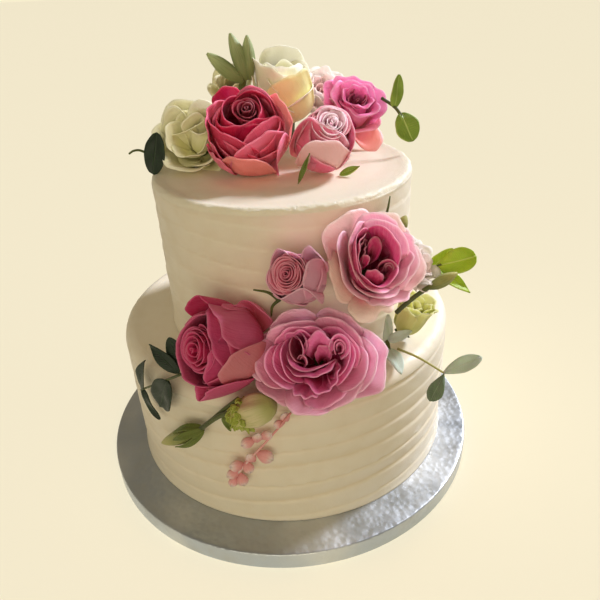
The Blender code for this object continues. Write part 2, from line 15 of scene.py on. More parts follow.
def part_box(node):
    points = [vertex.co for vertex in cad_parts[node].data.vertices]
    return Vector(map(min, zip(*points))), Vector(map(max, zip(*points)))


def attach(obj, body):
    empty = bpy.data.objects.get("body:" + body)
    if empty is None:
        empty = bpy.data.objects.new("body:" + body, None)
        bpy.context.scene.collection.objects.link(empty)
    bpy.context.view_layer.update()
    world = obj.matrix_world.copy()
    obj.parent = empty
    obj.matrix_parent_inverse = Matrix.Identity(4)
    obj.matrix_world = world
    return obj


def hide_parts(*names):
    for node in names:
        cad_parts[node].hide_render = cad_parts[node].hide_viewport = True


bl_info = {
    "name": "Tiered rose cake",
    "version": (1, 0, 0),
    "blender": (4, 5, 0),
    "location": "3D View > Sidebar > Cake",
    "description": "Builds a two-tier buttercream cake with roses, buds and leaves",
    "category": "Add Mesh",
}

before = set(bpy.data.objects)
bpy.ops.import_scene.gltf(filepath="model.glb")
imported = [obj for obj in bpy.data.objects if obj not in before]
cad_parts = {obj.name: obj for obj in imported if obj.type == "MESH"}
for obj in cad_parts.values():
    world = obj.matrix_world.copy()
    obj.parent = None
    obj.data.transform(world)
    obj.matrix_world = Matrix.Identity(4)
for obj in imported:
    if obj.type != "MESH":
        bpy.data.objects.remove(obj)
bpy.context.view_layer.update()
MM = 0.001
BODY = "root"

# The camera that took the picture: its place, its turn, its lens, and the picture's side in pixels
CAMERA_PLACE = (-6.45, -337.76, 296.23)
CAMERA_HEADING, CAMERA_DIP, CAMERA_ROLL = -0.0537, 0.5175, -0.0509
CAMERA_LENS = 34.56
CAMERA_SENSOR = 36.0
CAMERA_CLIP = (0.01, 60.0)
PICTURE_SIDE = 600


def linear(red, green, blue):
    """A colour given as 0 to 255 screen values, as the linear values that Blender works in."""
    made = []
    for value in (red, green, blue):
        c = value / 255.0
        made.append(c / 12.92 if c <= 0.04045 else ((c + 0.055) / 1.055) ** 2.4)
    return tuple(made)


def node_size(name):
    """Lowest corner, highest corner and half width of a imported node, in millimetres."""
    low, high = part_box(name)
    return [c / MM for c in low], [c / MM for c in high], (high[0] - low[0]) / MM / 2


_, BOARD_HIGH, BOARD_RADIUS = node_size("cake_board")
LOWER_LOW, LOWER_HIGH, _ = node_size("bottom_tier")
UPPER_LOW, UPPER_HIGH, UPPER_RADIUS = node_size("top_tier")


# Settings


class CakeIcing(bpy.types.PropertyGroup):
    """Shape and colour of the buttercream."""

    band_height: FloatProperty(
        name="Band height", description="Height of one palette-knife band",
        default=0.0125, min=0.004, unit="LENGTH",
    )
    band_depth: FloatProperty(
        name="Band depth", description="How far a band stands out",
        default=0.0009, min=0.0, max=0.002, unit="LENGTH",
    )
    colour: FloatVectorProperty(
        name="Icing", description="Colour of the buttercream", subtype="COLOR", size=3,
        default=linear(249, 239, 219),
    )
    # Painted shade: a darker, warmer icing colour laid into the hollows of the bands.
    band_shade: FloatVectorProperty(
        name="Icing in hollows", description="Painted shade low in the bands", subtype="COLOR", size=3,
        default=linear(233, 217, 186)
    )


class CakeBoard(bpy.types.PropertyGroup):
    """The foil-covered drum board."""

    edge_radius: FloatProperty(
        name="Edge radius", description="Rounding of the board's edges",
        default=0.0012, min=0.0, unit="LENGTH",
    )
    foil: FloatVectorProperty(
        name="Foil", description="Colour of the silver foil", subtype="COLOR", size=3,
        default=linear(180, 188, 198),
    )


class CakeFlowers(bpy.types.PropertyGroup):
    """Petals of every head."""

    petal_thickness: FloatProperty(
        name="Petal thickness", description="Thickness of one petal",
        default=0.0004, min=0.0002, unit="LENGTH",
    )
    petal_detail: IntProperty(
        name="Petal detail", description="Faces across one petal", default=14, min=4, max=40
    )
    tint: FloatVectorProperty(
        name="Tint", description="Multiplies the colour of every petal", subtype="COLOR", size=3,
        default=(1.0, 1.0, 1.0),
    )


class CakeGreens(bpy.types.PropertyGroup):
    """Leaves, stems and buds."""

    leaf_thickness: FloatProperty(
        name="Leaf thickness", description="Thickness of one leaf", default=0.0005, min=0.0002, unit="LENGTH"
    )
    dark_leaf: FloatVectorProperty(
        name="Dark leaf", description="Blue-green leaves on the left", subtype="COLOR", size=3,
        default=linear(26, 40, 28),
    )
    silver_leaf: FloatVectorProperty(
        name="Silver leaf", description="Bloomed leaves on the right", subtype="COLOR", size=3,
        default=linear(206, 222, 208)
    )
    bright_leaf: FloatVectorProperty(
        name="Bright leaf", description="Fresh leaves in the light", subtype="COLOR", size=3,
        default=linear(134, 160, 58),
    )
    bud: FloatVectorProperty(
        name="Bud", description="Closed green buds", subtype="COLOR", size=3, default=linear(140, 146, 76)
    )


class CakeStage(bpy.types.PropertyGroup):
    """Camera, light and floor."""

    lens: FloatProperty(name="Lens", description="Focal length in millimetres", default=CAMERA_LENS, min=10.0)
    floor: FloatVectorProperty(
        name="Floor", description="Colour of floor and background", subtype="COLOR", size=3,
        default=linear(248, 238, 207),
    )
    sky: FloatVectorProperty(
        name="Sky", description="Colour of the light all round", subtype="COLOR", size=3,
        default=(1.0, 0.85, 0.6),
    )
    sky_strength: FloatProperty(
        name="Sky light", description="Strength of the light all round", default=0.27, min=0.0,
    )
    key_strength: FloatProperty(
        name="Key light", description="Strength of the back-right light", default=3.8, min=0.0,
    )
    fill_strength: FloatProperty(
        name="Fill light", description="Strength of the light from the front", default=1.2, min=0.0,
    )
    petal_light: FloatProperty(
        name="Petal light", description="Strength of the light on the upper flowers", default=1.5, min=0.0,
    )
    wash_strength: FloatProperty(
        name="Floor light", description="Strength of the light on the floor", default=2.16, min=0.0,
    )


# Mesh helpers


def mesh_piece(name, points, faces, attributes=None, smooth=True):
    """A mesh object from points in millimetres. attributes maps a name to one value or vector per point."""
    mesh = bpy.data.meshes.new(name)
    mesh.from_pydata([tuple(p) for p in np.asarray(points, float) * MM], [], [tuple(f) for f in faces])
    for key, values in (attributes or {}).items():
        values = np.asarray(values, np.float32)
        if values.ndim == 1:
            layer = mesh.attributes.new(key, "FLOAT", "POINT")
            layer.data.foreach_set("value", values)
        else:
            layer = mesh.attributes.new(key, "FLOAT_VECTOR", "POINT")
            layer.data.foreach_set("vector", values.reshape(-1))
    if smooth:
        mesh.shade_smooth()
    mesh.validate()
    obj = bpy.data.objects.new(name, mesh)
    bpy.context.scene.collection.objects.link(obj)
    return obj


def grid_faces(columns, rows, start=0, wrap=False):
    """Quads of a grid of points, columns across and rows along. wrap joins the last column to the first."""
    across = np.arange(columns if wrap else columns - 1)
    along = np.arange(rows - 1)
    a, b = np.meshgrid(across, along)
    a, b = a.ravel(), b.ravel()
    nxt = (a + 1) % columns
    return np.stack(
        [b * columns + a, b * columns + nxt, (b + 1) * columns + nxt, (b + 1) * columns + a], 1,
    ) + start


def thicken(obj, thickness, offset=0.0):
    solid = obj.modifiers.new("thickness", "SOLIDIFY")
    solid.thickness = thickness
    solid.offset = offset
    solid.use_even_offset = False
    return solid


def finish_piece(obj, material, slot, *nodes):
    """Gives a piece its material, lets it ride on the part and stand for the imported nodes."""
    obj.data.materials.clear()
    obj.data.materials.append(material)
    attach(obj, BODY)
    if nodes:
        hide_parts(*nodes)
    return obj


def frac_noise(i, j):
    """A repeatable value from -1 to 1 for the petal i of the layer j, the same as in the part's source."""
    x = sin(12.9898 * (i + 1) + 78.233 * (j + 1)) * 43758.5453
    return 2.0 * (x - np.floor(x)) - 1.0


def ripple(x, y, seed, scale=1.0):
    """A smooth uneven field between about -1 and 1, a sum of slanted waves."""
    s = seed * 1.7
    return (
        np.sin(2.3 * scale * x + 1.1 * scale * y + s)
        + 0.7 * np.sin(-1.7 * scale * x + 2.9 * scale * y + 2.1 * s + 1.0)
        + 0.5 * np.sin(4.1 * scale * x - 3.3 * scale * y + 3.3 * s + 2.0)
    ) / 2.2


# Material helpers


class Nodes:
    """Short calls for building a node tree."""

    def __init__(self, name):
        self.material = bpy.data.materials.new(name)
        self.material.use_nodes = True
        self.tree = self.material.node_tree
        self.shader = self.tree.nodes["Principled BSDF"]

    def add(self, kind, **values):
        node = self.tree.nodes.new(kind)
        for key, value in values.items():
            setattr(node, key, value)
        return node

    def link(self, source, target):
        self.tree.links.new(source, target)

    def attribute(self, name):
        return self.add("ShaderNodeAttribute", attribute_name=name)

    def place(self):
        """Position in the object's own space, in metres."""
        return self.add("ShaderNodeTexCoord").outputs["Object"]

    def noise(self, vector, scale, detail=3.0, roughness=0.55):
        node = self.add("ShaderNodeTexNoise")
        node.inputs["Scale"].default_value = scale
        node.inputs["Detail"].default_value = detail
        node.inputs["Roughness"].default_value = roughness
        if vector is not None:
            self.link(vector, node.inputs["Vector"])
        return node.outputs["Fac"]

    def ramp(self, value, low, high, out_low=0.0, out_high=1.0, smooth=True):
        """Maps low to high on to out_low to out_high and holds the ends."""
        node = self.add("ShaderNodeMapRange")
        node.interpolation_type = "SMOOTHSTEP" if smooth else "LINEAR"
        for key, number in (("From Min", low), ("From Max", high), ("To Min", out_low), ("To Max", out_high)):
            node.inputs[key].default_value = number
        self.link(value, node.inputs["Value"])
        return node.outputs["Result"]

    def math(self, operation, a, b):
        node = self.add("ShaderNodeMath", operation=operation)
        for socket, value in zip(node.inputs, (a, b)):
            if isinstance(value, (int, float)):
                socket.default_value = value
            else:
                self.link(value, socket)
        return node.outputs[0]

    def mix(self, factor, a, b, blend="MIX"):
        """Mixes two colours. Each is a colour or a socket."""
        node = self.add("ShaderNodeMix", data_type="RGBA", blend_type=blend)
        for socket, value in ((node.inputs[0], factor), (node.inputs[6], a), (node.inputs[7], b)):
            if isinstance(value, (int, float)):
                socket.default_value = value
            elif isinstance(value, (tuple, list)) or hasattr(value, "r"):
                socket.default_value = (*tuple(value)[:3], 1.0)
            else:
                self.link(value, socket)
        return node.outputs[2]

    def bump(self, height, distance, strength=1.0, below=None):
        node = self.add("ShaderNodeBump")
        node.inputs["Strength"].default_value = strength
        node.inputs["Distance"].default_value = distance
        self.link(height, node.inputs["Height"])
        if below is not None:
            self.link(below, node.inputs["Normal"])
        return node.outputs["Normal"]

    def set(self, **values):
        """Constants on the shader's own sockets. An underscore stands for a space."""
        for key, value in values.items():
            self.shader.inputs[key.replace("_", " ")].default_value = value


def icing_material(settings):
    """Ivory buttercream: painted shade, darker and warmer, low in the bands; faint air pits, a crumbly lip
    along the tier's top edge.
    """
    n = Nodes("buttercream")
    place = n.place()
    band_shade = n.attribute("band_shade").outputs["Fac"]
    lip = n.attribute("lip").outputs["Fac"]
    cloud = n.noise(place, 22.0, 3.0)
    smear = n.noise(place, 90.0, 4.0)
    # Painted shade: the band hollows mixed towards the darker hollow colour, more strongly on the tier's
    # right side.
    colour = n.mix(n.ramp(band_shade, 0.0, 1.0, 0.0, 0.6), tuple(settings.colour), tuple(settings.band_shade))
    colour = n.mix(n.ramp(cloud, 0.35, 0.7, 0.0, 0.3), colour, linear(245, 236, 218))
    colour = n.mix(n.ramp(smear, 0.4, 0.75, 0.0, 0.16), colour, linear(228, 212, 180))
    colour = n.mix(n.ramp(lip, 0.2, 1.0, 0.0, 0.4), colour, linear(250, 244, 224))
    n.link(colour, n.shader.inputs["Base Color"])
    grain = n.noise(place, 900.0, 3.0, 0.6)
    fine = n.noise(place, 2600.0, 2.0, 0.5)
    pits = n.add("ShaderNodeTexVoronoi", feature="F1")
    pits.inputs["Scale"].default_value = 420.0
    n.link(place, pits.inputs["Vector"])
    spread = n.noise(place, 130.0, 2.0)
    few = n.math(
        "MULTIPLY", n.ramp(pits.outputs["Distance"], 0.05, 0.28, -1.0, 0.0), n.ramp(spread, 0.55, 0.72),
    )
    rough_lip = n.math("MULTIPLY", n.noise(place, 480.0, 4.0, 0.7), n.ramp(lip, 0.0, 1.0, 0.0, 3.0))
    height = n.math("ADD", n.math("MULTIPLY", grain, 0.6), n.math("MULTIPLY", fine, 0.25))
    height = n.math("ADD", height, n.math("MULTIPLY", few, n.ramp(lip, 0.0, 1.0, 0.45, 2.2)))
    height = n.math("ADD", height, rough_lip)
    n.link(n.bump(height, 0.00022, 0.7), n.shader.inputs["Normal"])
    n.link(n.ramp(smear, 0.3, 0.7, 0.42, 0.62), n.shader.inputs["Roughness"])
    n.set(Subsurface_Weight=0.22, Subsurface_Radius=(0.0045, 0.004, 0.003), Subsurface_Scale=1.0)
    n.set(Specular_IOR_Level=0.42, Sheen_Weight=0.05)
    return n.material


def foil_material(settings):
    """Silver paper foil: embossed with small scallops, mottled where it has been handled."""
    n = Nodes("board_foil")
    place = n.place()
    cells = n.add("ShaderNodeTexVoronoi", feature="SMOOTH_F1")
    cells.inputs["Scale"].default_value = 260.0
    cells.inputs["Smoothness"].default_value = 0.5
    n.link(place, cells.inputs["Vector"])
    mottle = n.noise(place, 60.0, 5.0, 0.65)
    patch = n.noise(place, 16.0, 2.0)
    colour = n.mix(n.ramp(mottle, 0.3, 0.75), tuple(settings.foil), linear(186, 190, 193))
    colour = n.mix(n.ramp(patch, 0.4, 0.7, 0.0, 0.5), colour, linear(232, 233, 231))
    n.link(colour, n.shader.inputs["Base Color"])
    n.link(n.ramp(mottle, 0.3, 0.7, 0.34, 0.56), n.shader.inputs["Roughness"])
    height = n.math(
        "ADD", n.math("MULTIPLY", cells.outputs["Distance"], 1.2), n.math("MULTIPLY", mottle, 0.8),
    )
    n.link(n.bump(height, 0.0005, 0.55), n.shader.inputs["Normal"])
    n.set(Metallic=0.85)
    return n.material


# Share of the pale rim colour at each petal's edge: partly the petal's paler edge, partly a painted
# highlight.
PALE_RIM_AND_HIGHLIGHT_SHARE = 0.2
PETAL_GLOW = 0.45


def petal_material(name, look, tint):
    """Petals: a hot colour deep in the cup, partly the rose's own and partly painted shade, paler outside, a
    thin pale rim that is partly a painted highlight, and lengthwise veins.
    """
    n = Nodes(name)
    colours = {key: tuple(c * t for c, t in zip(linear(*look[key]), tint)) for key in PETAL_ZONES}
    layer = n.attribute("layer").outputs["Fac"]
    along = n.attribute("along").outputs["Fac"]
    edge = n.attribute("edge").outputs["Fac"]
    tone = n.attribute("tone").outputs["Fac"]
    grain = n.attribute("grain").outputs["Vector"]
    cloud = n.noise(n.place(), 160.0, 3.0)
    # Inner petals darker: partly the rose's own deeper colour, partly painted shade deep in the cup.
    colour = n.mix(n.ramp(layer, 0.15, 0.62), colours["heart"], colours["body"])
    colour = n.mix(n.ramp(layer, 0.55, 1.0), colour, colours["outer"])
    colour = n.mix(n.ramp(layer, 1.08, 1.35), colour, colours["guard"])
    # Each petal's foot darker: partly the rose's own colour, partly painted shade where the petals meet low
    # in the cup.
    foot = n.mix(n.ramp(layer, 0.8, 1.1), colours["deep"], colours["foot"])
    colour = n.mix(n.ramp(along, 0.78, 0.3, 0.0, 0.9), colour, foot)
    colour = n.mix(n.ramp(cloud, 0.35, 0.75, 0.0, 0.07), colour, colours["rim"])
    colour = n.mix(n.ramp(tone, -1.0, 1.0, 0.0, 0.12), colour, colours["heart"])
    streaks = n.add("ShaderNodeTexNoise")
    streaks.inputs["Scale"].default_value = 1.0
    streaks.inputs["Detail"].default_value = 4.0
    stretch = n.add("ShaderNodeMapping")
    stretch.inputs["Scale"].default_value = (1.3, 0.09, 1.0)
    n.link(grain, stretch.inputs["Vector"])
    n.link(stretch.outputs["Vector"], streaks.inputs["Vector"])
    veins = streaks.outputs["Fac"]
    colour = n.mix(n.ramp(veins, 0.5, 0.8, 0.0, look["vein"]), colour, foot)
    colour = n.mix(n.ramp(veins, 0.5, 0.2, 0.0, 0.1), colour, colours["rim"])
    # Pale rim: partly the petal's paler edge, partly a painted highlight along the rim.
    rim = n.math("MULTIPLY", n.ramp(edge, 0.9, 0.0), PALE_RIM_AND_HIGHLIGHT_SHARE)
    colour = n.mix(rim, colour, colours["rim"])
    n.link(colour, n.shader.inputs["Base Color"])
    fine = n.noise(n.place(), 1500.0, 2.0)
    crinkle = n.noise(n.place(), 380.0, 3.0)
    height = n.math("ADD", n.math("MULTIPLY", veins, 1.0), n.math("MULTIPLY", fine, 0.2))
    height = n.math("ADD", height, n.math("MULTIPLY", crinkle, 1.3))
    n.link(n.bump(height, 0.0004, 0.55), n.shader.inputs["Normal"])
    n.link(n.ramp(veins, 0.3, 0.7, 0.44, 0.58), n.shader.inputs["Roughness"])
    n.set(Subsurface_Weight=PETAL_GLOW, Subsurface_Radius=(0.002, 0.002, 0.002), Subsurface_Scale=1.0)
    n.set(Specular_IOR_Level=0.25, Sheen_Weight=0.06, Sheen_Roughness=0.45)
    return n.material


def leaf_material(name, colour, vein, bloom, gloss=0.5, pale=None):
    """Leaves: a pale midrib and side veins, a waxy bloom in patches, a slightly lighter edge."""
    n = Nodes(name)
    across = n.attribute("across").outputs["Fac"]
    grain = n.attribute("grain").outputs["Vector"]
    side = n.math("ABSOLUTE", across, 0.0)
    patch = n.noise(n.place(), 220.0, 4.0, 0.6)
    shade = n.mix(n.ramp(patch, 0.3, 0.7, 0.0, 0.55), tuple(colour), bloom)
    herring = n.add("ShaderNodeTexWave", wave_type="BANDS", bands_direction="X")
    herring.inputs["Scale"].default_value = 0.35
    herring.inputs["Distortion"].default_value = 1.5
    herring.inputs["Detail"].default_value = 2.0
    turn = n.add("ShaderNodeMapping")
    turn.inputs["Rotation"].default_value = (0.0, 0.0, 0.9)
    n.link(grain, turn.inputs["Vector"])
    n.link(turn.outputs["Vector"], herring.inputs["Vector"])
    shade = n.mix(n.ramp(herring.outputs["Fac"], 0.75, 1.0, 0.0, 0.3), shade, vein)
    shade = n.mix(n.ramp(side, 0.10, 0.02, 0.0, 0.75), shade, vein)
    shade = n.mix(n.ramp(side, 0.88, 1.0, 0.0, 0.45), shade, pale or vein)
    n.link(shade, n.shader.inputs["Base Color"])
    height = n.math(
        "ADD", n.math("MULTIPLY", n.ramp(side, 0.12, 0.0), 1.4),
        n.math("MULTIPLY", herring.outputs["Fac"], 0.5),
    )
    n.link(n.bump(height, 0.0003, 0.6), n.shader.inputs["Normal"])
    n.link(n.ramp(patch, 0.3, 0.7, gloss - 0.08, gloss + 0.1), n.shader.inputs["Roughness"])
    n.set(Subsurface_Weight=0.15, Subsurface_Radius=(0.0012, 0.002, 0.0006), Subsurface_Scale=1.0)
    n.set(Specular_IOR_Level=0.3)
    return n.material


def bud_material(name, colour, tip, stripe, foot):
    """Closed buds: green at the foot, paler at the tip, with lengthwise folds."""
    n = Nodes(name)
    along = n.attribute("along").outputs["Fac"]
    grain = n.attribute("grain").outputs["Vector"]
    streaks = n.add("ShaderNodeTexNoise")
    streaks.inputs["Scale"].default_value = 1.0
    streaks.inputs["Detail"].default_value = 4.0
    stretch = n.add("ShaderNodeMapping")
    stretch.inputs["Scale"].default_value = (2.2, 0.12, 1.0)
    n.link(grain, stretch.inputs["Vector"])
    n.link(stretch.outputs["Vector"], streaks.inputs["Vector"])
    lines = streaks.outputs["Fac"]
    shade = n.mix(n.ramp(along, 0.0, 0.45), foot, tuple(colour))
    shade = n.mix(n.ramp(along, 0.45, 1.0), shade, tip)
    shade = n.mix(n.ramp(lines, 0.45, 0.7, 0.0, 0.6), shade, stripe)
    n.link(shade, n.shader.inputs["Base Color"])
    n.link(n.bump(lines, 0.0004, 0.7), n.shader.inputs["Normal"])
    n.link(n.ramp(lines, 0.3, 0.7, 0.42, 0.58), n.shader.inputs["Roughness"])
    n.set(Subsurface_Weight=0.15, Subsurface_Radius=(0.002, 0.0024, 0.001), Subsurface_Scale=1.0)
    n.set(Specular_IOR_Level=0.4, Sheen_Weight=0.1)
    return n.material


# Tiers and board

TIER_COLUMNS = 420
BOARD_COLUMNS = 360
WELD_GAP = 0.00001
BAND_SLANT = 4.5


def tier_piece(name, centre, radius, low, high, edge, settings, seed, swell=1.0):
    """One iced tier as a closed skin: foot, banded wall, rounded top edge and spread top."""
    band = settings.band_height / MM
    depth = settings.band_depth / MM
    wall = high - edge - low
    wall_rows = 96
    rows = [("foot", t) for t in np.linspace(0, 1, 4)[:-1]]
    rows += [("wall", t) for t in np.linspace(0, 1, wall_rows)]
    rows += [("edge", t) for t in np.linspace(0, 1, 14)[1:]]
    rows += [("top", t) for t in np.linspace(0, 1, 40)[1:]]
    turn = np.linspace(0, 2 * pi, TIER_COLUMNS, endpoint=False)
    points, band_shade, lip = [], [], []
    for kind, t in rows:
        slant = BAND_SLANT * np.sin(turn - 0.6 + seed) + 2.2 * np.sin(2 * turn + 1.9 * seed)
        if kind == "foot":
            r = np.full_like(turn, t * (radius + swell - 0.6))
            z = np.full_like(turn, low)
            dip = np.zeros_like(turn)
            rim = np.zeros_like(turn)
        elif kind == "wall":
            z0 = low + t * wall
            phase = (z0 + slant + 1.6 * ripple(turn * 1.3, z0 * 0.05, seed)) / band
            part = phase - np.floor(phase)
            which = np.floor(phase)
            right = np.clip(0.5 + 0.5 * np.cos(turn - radians(-62.0)), 0.0, 1.0) ** 1.5
            facing = 0.14 + 1.0 * right if edge > 5 else 0.5
            strength = (0.6 + 0.4 * np.sin(3.7 * which + 1.3 * turn + seed)) * facing
            shape = np.where(
                part < 0.82, np.sin(pi * part / 1.64) ** 0.7, np.cos(pi * (part - 0.82) / 0.36) ** 1.0,
            )
            dip = 1.0 - np.clip(shape, 0.0, 1.0)
            push = -depth * 1.5 * dip * strength
            push += 0.28 * ripple(
                turn * 3.0, z0 * 0.10, seed + 2.0,
            ) + 0.07 * ripple(turn * 17.0, z0 * 0.5, seed + 5.0)
            foot = max(0.0, 1.0 - t / 0.12) ** 2
            r = radius - 0.3 + swell * foot + push * min(1.0, t / 0.03) * min(1.0, (1.0 - t) / 0.02 + 0.3)
            z = np.full_like(turn, z0)
            # The mask for the painted shade in the band hollows, larger where the bands are deeper.
            dip = dip * strength
            rim = np.full_like(turn, max(0.0, (t - 0.975) / 0.025))
        elif kind == "edge":
            a = t * pi / 2
            ragged = 0.35 * ripple(turn * 9.0, t * 2.0, seed + 8.0) + 0.18 * ripple(
                turn * 31.0, t * 3.0, seed + 9.0,
            )
            r = radius - 0.45 - edge * (1 - cos(a)) + ragged * sin(pi * t) * (0.9 if edge < 5 else 0.25)
            z = np.full_like(turn, high - edge + edge * sin(a) - 0.25) + ragged * 0.5 * sin(pi * t)
            dip = np.zeros_like(turn)
            rim = np.full_like(turn, 1.0 if edge < 5 else 0.15)
        else:
            inner = (radius - 0.45 - edge) * (1 - t)
            r = np.full_like(turn, inner)
            swirl = 0.25 * np.sin(turn * 2.0 - inner * 0.16 + seed)
            swirl = swirl + 0.18 * np.sin(inner * 0.42 - turn + 2 * seed)
            lift = 0.45 * np.exp(-((radius - edge - inner - 1.5) / 2.6) ** 2) if edge < 5 else 0.0
            fall = min(1.0, (radius - edge - inner) / 8.0) * (1 - t) ** 0.3
            z = high - 0.55 + lift * (0.6 + 0.4 * np.sin(5 * turn + seed)) + swirl * fall * 0.7
            z = np.minimum(z, high - 0.02)
            dip = np.zeros_like(turn)
            near = float(np.exp(-((radius - edge - inner) / 5.0) ** 2))
            rim = np.full_like(turn, near * (1.0 if edge < 5 else 0.15))
        points.append(np.stack([centre[0] + r * np.cos(turn), centre[1] + r * np.sin(turn), z + 0 * turn], 1))
        band_shade.append(dip)
        lip.append(rim)
    count = len(points)
    grid = np.concatenate(points)
    faces = [tuple(f) for f in grid_faces(TIER_COLUMNS, count, wrap=True)]
    data = {"band_shade": np.concatenate(band_shade), "lip": np.concatenate(lip)}
    obj = mesh_piece(name, grid, faces, data)
    weld = obj.modifiers.new("weld", "WELD")
    weld.merge_threshold = WELD_GAP
    return obj


def board_piece(settings):
    """The drum board with rounded edges, a folded foil side and its flat underside."""
    t = BOARD_HIGH[2]
    r = BOARD_RADIUS
    e = settings.edge_radius / MM
    columns = BOARD_COLUMNS
    turn = np.linspace(0, 2 * pi, columns, endpoint=False)
    profile = [(0.0, 0.0), (r * 0.5, 0.0), (r - 6, 0.0), (r - e, 0.0)]
    profile += [(r - e + e * sin(a), e - e * cos(a)) for a in np.linspace(0, pi / 2, 5)[1:]]
    profile += [(r, z) for z in np.linspace(e, t - e, 8)[1:]]
    profile += [(r - e + e * cos(a), t - e + e * sin(a)) for a in np.linspace(0, pi / 2, 6)[1:]]
    profile += [(r - d, t) for d in (3.0, 6.0, 12.0, 20.0, 40.0, 80.0)] + [(0.0, t)]
    rows = []
    for radius, z in profile:
        folds = 0.10 * np.maximum(0, np.sin(turn * 64 + 3 * np.sin(turn * 5)))
        r_here = radius - folds if 1.5 < z < t - 1.5 else radius
        rows.append(np.stack([r_here * np.cos(turn), r_here * np.sin(turn), z + 0 * turn], 1))
    obj = mesh_piece("cake_board_foil", np.concatenate(rows), grid_faces(columns, len(rows), wrap=True))
    weld = obj.modifiers.new("weld", "WELD")
    weld.merge_threshold = WELD_GAP
    return obj


# Petals


def bezier(p0, p1, p2, p3, t):
    """Points on a cubic curve. Past the far end it goes on along the tangent."""
    t = np.asarray(t)[..., None]
    inside = np.minimum(t, 1.0)
    s = 1.0 - inside
    at = p0 * s**3 + 3 * p1 * s * s * inside + 3 * p2 * s * inside * inside + p3 * inside**3
    return at + 3.0 * np.maximum(t - 1.0, 0.0) * (p3 - p2)


# How uneven a layer's petals are in turn (degrees), height, rim and middle, and how round their rim is
PETAL_JITTER = 6.0
PETAL_UNEVEN = 0.04
PETAL_RAGGED = 0.02
PETAL_BUCKLE = 0.35
PETAL_ROUND = 0.22


def petal_sheet(layer, i, number, radius, height, detail):
    """Points and per-point values of one petal of a layer, on a head whose axis is +Z."""
    start = layer["start"] + 360.0 * i / layer["n"]
    turn = radians(start + PETAL_JITTER * frac_noise(i, number))
    tall = 1.0 + PETAL_UNEVEN * frac_noise(i + 7, number)
    foot = np.array([layer.get("r0", 0.35 * layer["r1"]) * radius, layer.get("z0", 0.2) * height])
    rim = np.array([layer["r1"] * radius, layer["z1"] * height * tall])
    reach = np.linalg.norm(rim - foot) * layer.get("bulge", 0.42)
    lean0, lean1 = radians(layer.get("lean0", 50)), radians(layer["lean1"])
    p1 = foot + reach * np.array([sin(lean0), cos(lean0)])
    p2 = rim - reach * np.array([sin(lean1), cos(lean1)])
    half = radians(layer["half"])
    nu = max(6, int(detail * layer.get("fine", 1.0)))
    nv = max(6, int(detail * layer.get("fine", 1.0) * 0.9))
    u, v = np.meshgrid(np.linspace(-1, 1, nu + 1), np.linspace(0, 1, nv + 1) ** 0.85)
    seed = number * 7.31 + i * 3.17
    along = v * (1.0 - PETAL_ROUND * np.abs(u) ** 2.5)
    along = along + layer.get("point", 0.0) * v * v * np.maximum(0.0, 1.0 - 2.2 * np.abs(u))
    ragged = 1.0 + v * PETAL_RAGGED * ripple(u * 1.6, 0.0, seed, 1.5)
    ragged = ragged + v * 0.4 * PETAL_RAGGED * ripple(u * 5.0, 0.0, seed + 3, 1.7)
    along = along * ragged
    place = bezier(foot, p1, p2, rim, along)
    wide = 0.55 + 0.45 * np.sin(pi / 2 * np.minimum(1.0, v / 0.5))
    roll = layer.get("roll", 0.0) * np.maximum(0.0, (v - 0.6) / 0.4) ** 2 * (0.35 + 0.65 * np.abs(u) ** 1.5)
    lip = layer.get("lip", 0.5) * np.maximum(0.0, (v - 0.82) / 0.18) ** 2
    swell, waves = layer.get("wave", 0.0), layer.get("waves", 2)
    wave = swell * v**3 * np.sin(waves * pi * u + 5.0 * frac_noise(i, number + 3))
    buckle = PETAL_BUCKLE * v * ripple(u * 1.3, v * 1.4, seed + 11.0)
    r = place[..., 0] * (1.0 + layer.get("spiral", 0.06) * u) + roll + lip + wave + buckle
    z = place[..., 1] - 0.6 * roll - 0.5 * lip + 0.3 * swell * v**3 * np.cos(waves * 1.3 * pi * u + i)
    angle = turn + half * wide * u
    x, y = r * np.cos(angle), r * np.sin(angle)
    points = np.stack([x, y, z], -1)
    length = np.linalg.norm(rim - foot)
    width = 2 * half * max(layer["r1"] * radius, 1.0)
    edge = np.minimum((1.0 - v) * length, (1.0 - np.abs(u)) * width * 0.5 + 0.4 * (1 - v) * length)
    grain = np.stack([u * width * 0.5 + seed * 9.0, v * length, np.full_like(u, seed)], -1)
    depth = layer.get("depth", layer["r1"])
    flat = points.reshape(-1, 3)
    return (
        flat,
        nu + 1,
        nv + 1,
        {
            "along": v.ravel(),
            "edge": edge.ravel(),
            "layer": np.full(flat.shape[0], depth),
            "tone": np.full(flat.shape[0], frac_noise(i + 3, number + 1)),
            "grain": grain.reshape(-1, 3),
        },
    )


CURVE_STEPS = 12


def smooth_path(points, steps=6):
    """A rounded line through the points."""
    p = np.asarray(points, float)
    if len(p) < 3:
        return np.array([p[0] + (p[-1] - p[0]) * t for t in np.linspace(0, 1, steps + 1)])
    padded = np.vstack([2 * p[0] - p[1], p, 2 * p[-1] - p[-2]])
    made = []
    for k in range(len(p) - 1):
        a, b, c, d = padded[k : k + 4]
        bend = 2 * a - 5 * b + 4 * c - d
        twist = 3 * b - a - 3 * c + d
        for t in np.linspace(0, 1, steps, endpoint=False):
            made.append(0.5 * (2 * b + (c - a) * t + bend * t**2 + twist * t**3))
    made.append(p[-1])
    return np.array(made)


def curve_through(points, count):
    """Evenly spread points on a smooth line through the given ones, and the line's length."""
    made = smooth_path(points, CURVE_STEPS)
    run = np.concatenate([[0.0], np.cumsum(np.linalg.norm(np.diff(made, axis=0), axis=1))])
    at = np.linspace(0.0, run[-1], count)
    return np.stack([np.interp(at, run, made[:, k]) for k in range(3)], 1), run[-1]


# How far a petal bellies out, open or wrapped, and how far a wrapped one leans in at the axis, in degrees
OPEN_BULGE = 0.44
WRAP_BULGE = 0.56
WRAP_LEAN = 38.0


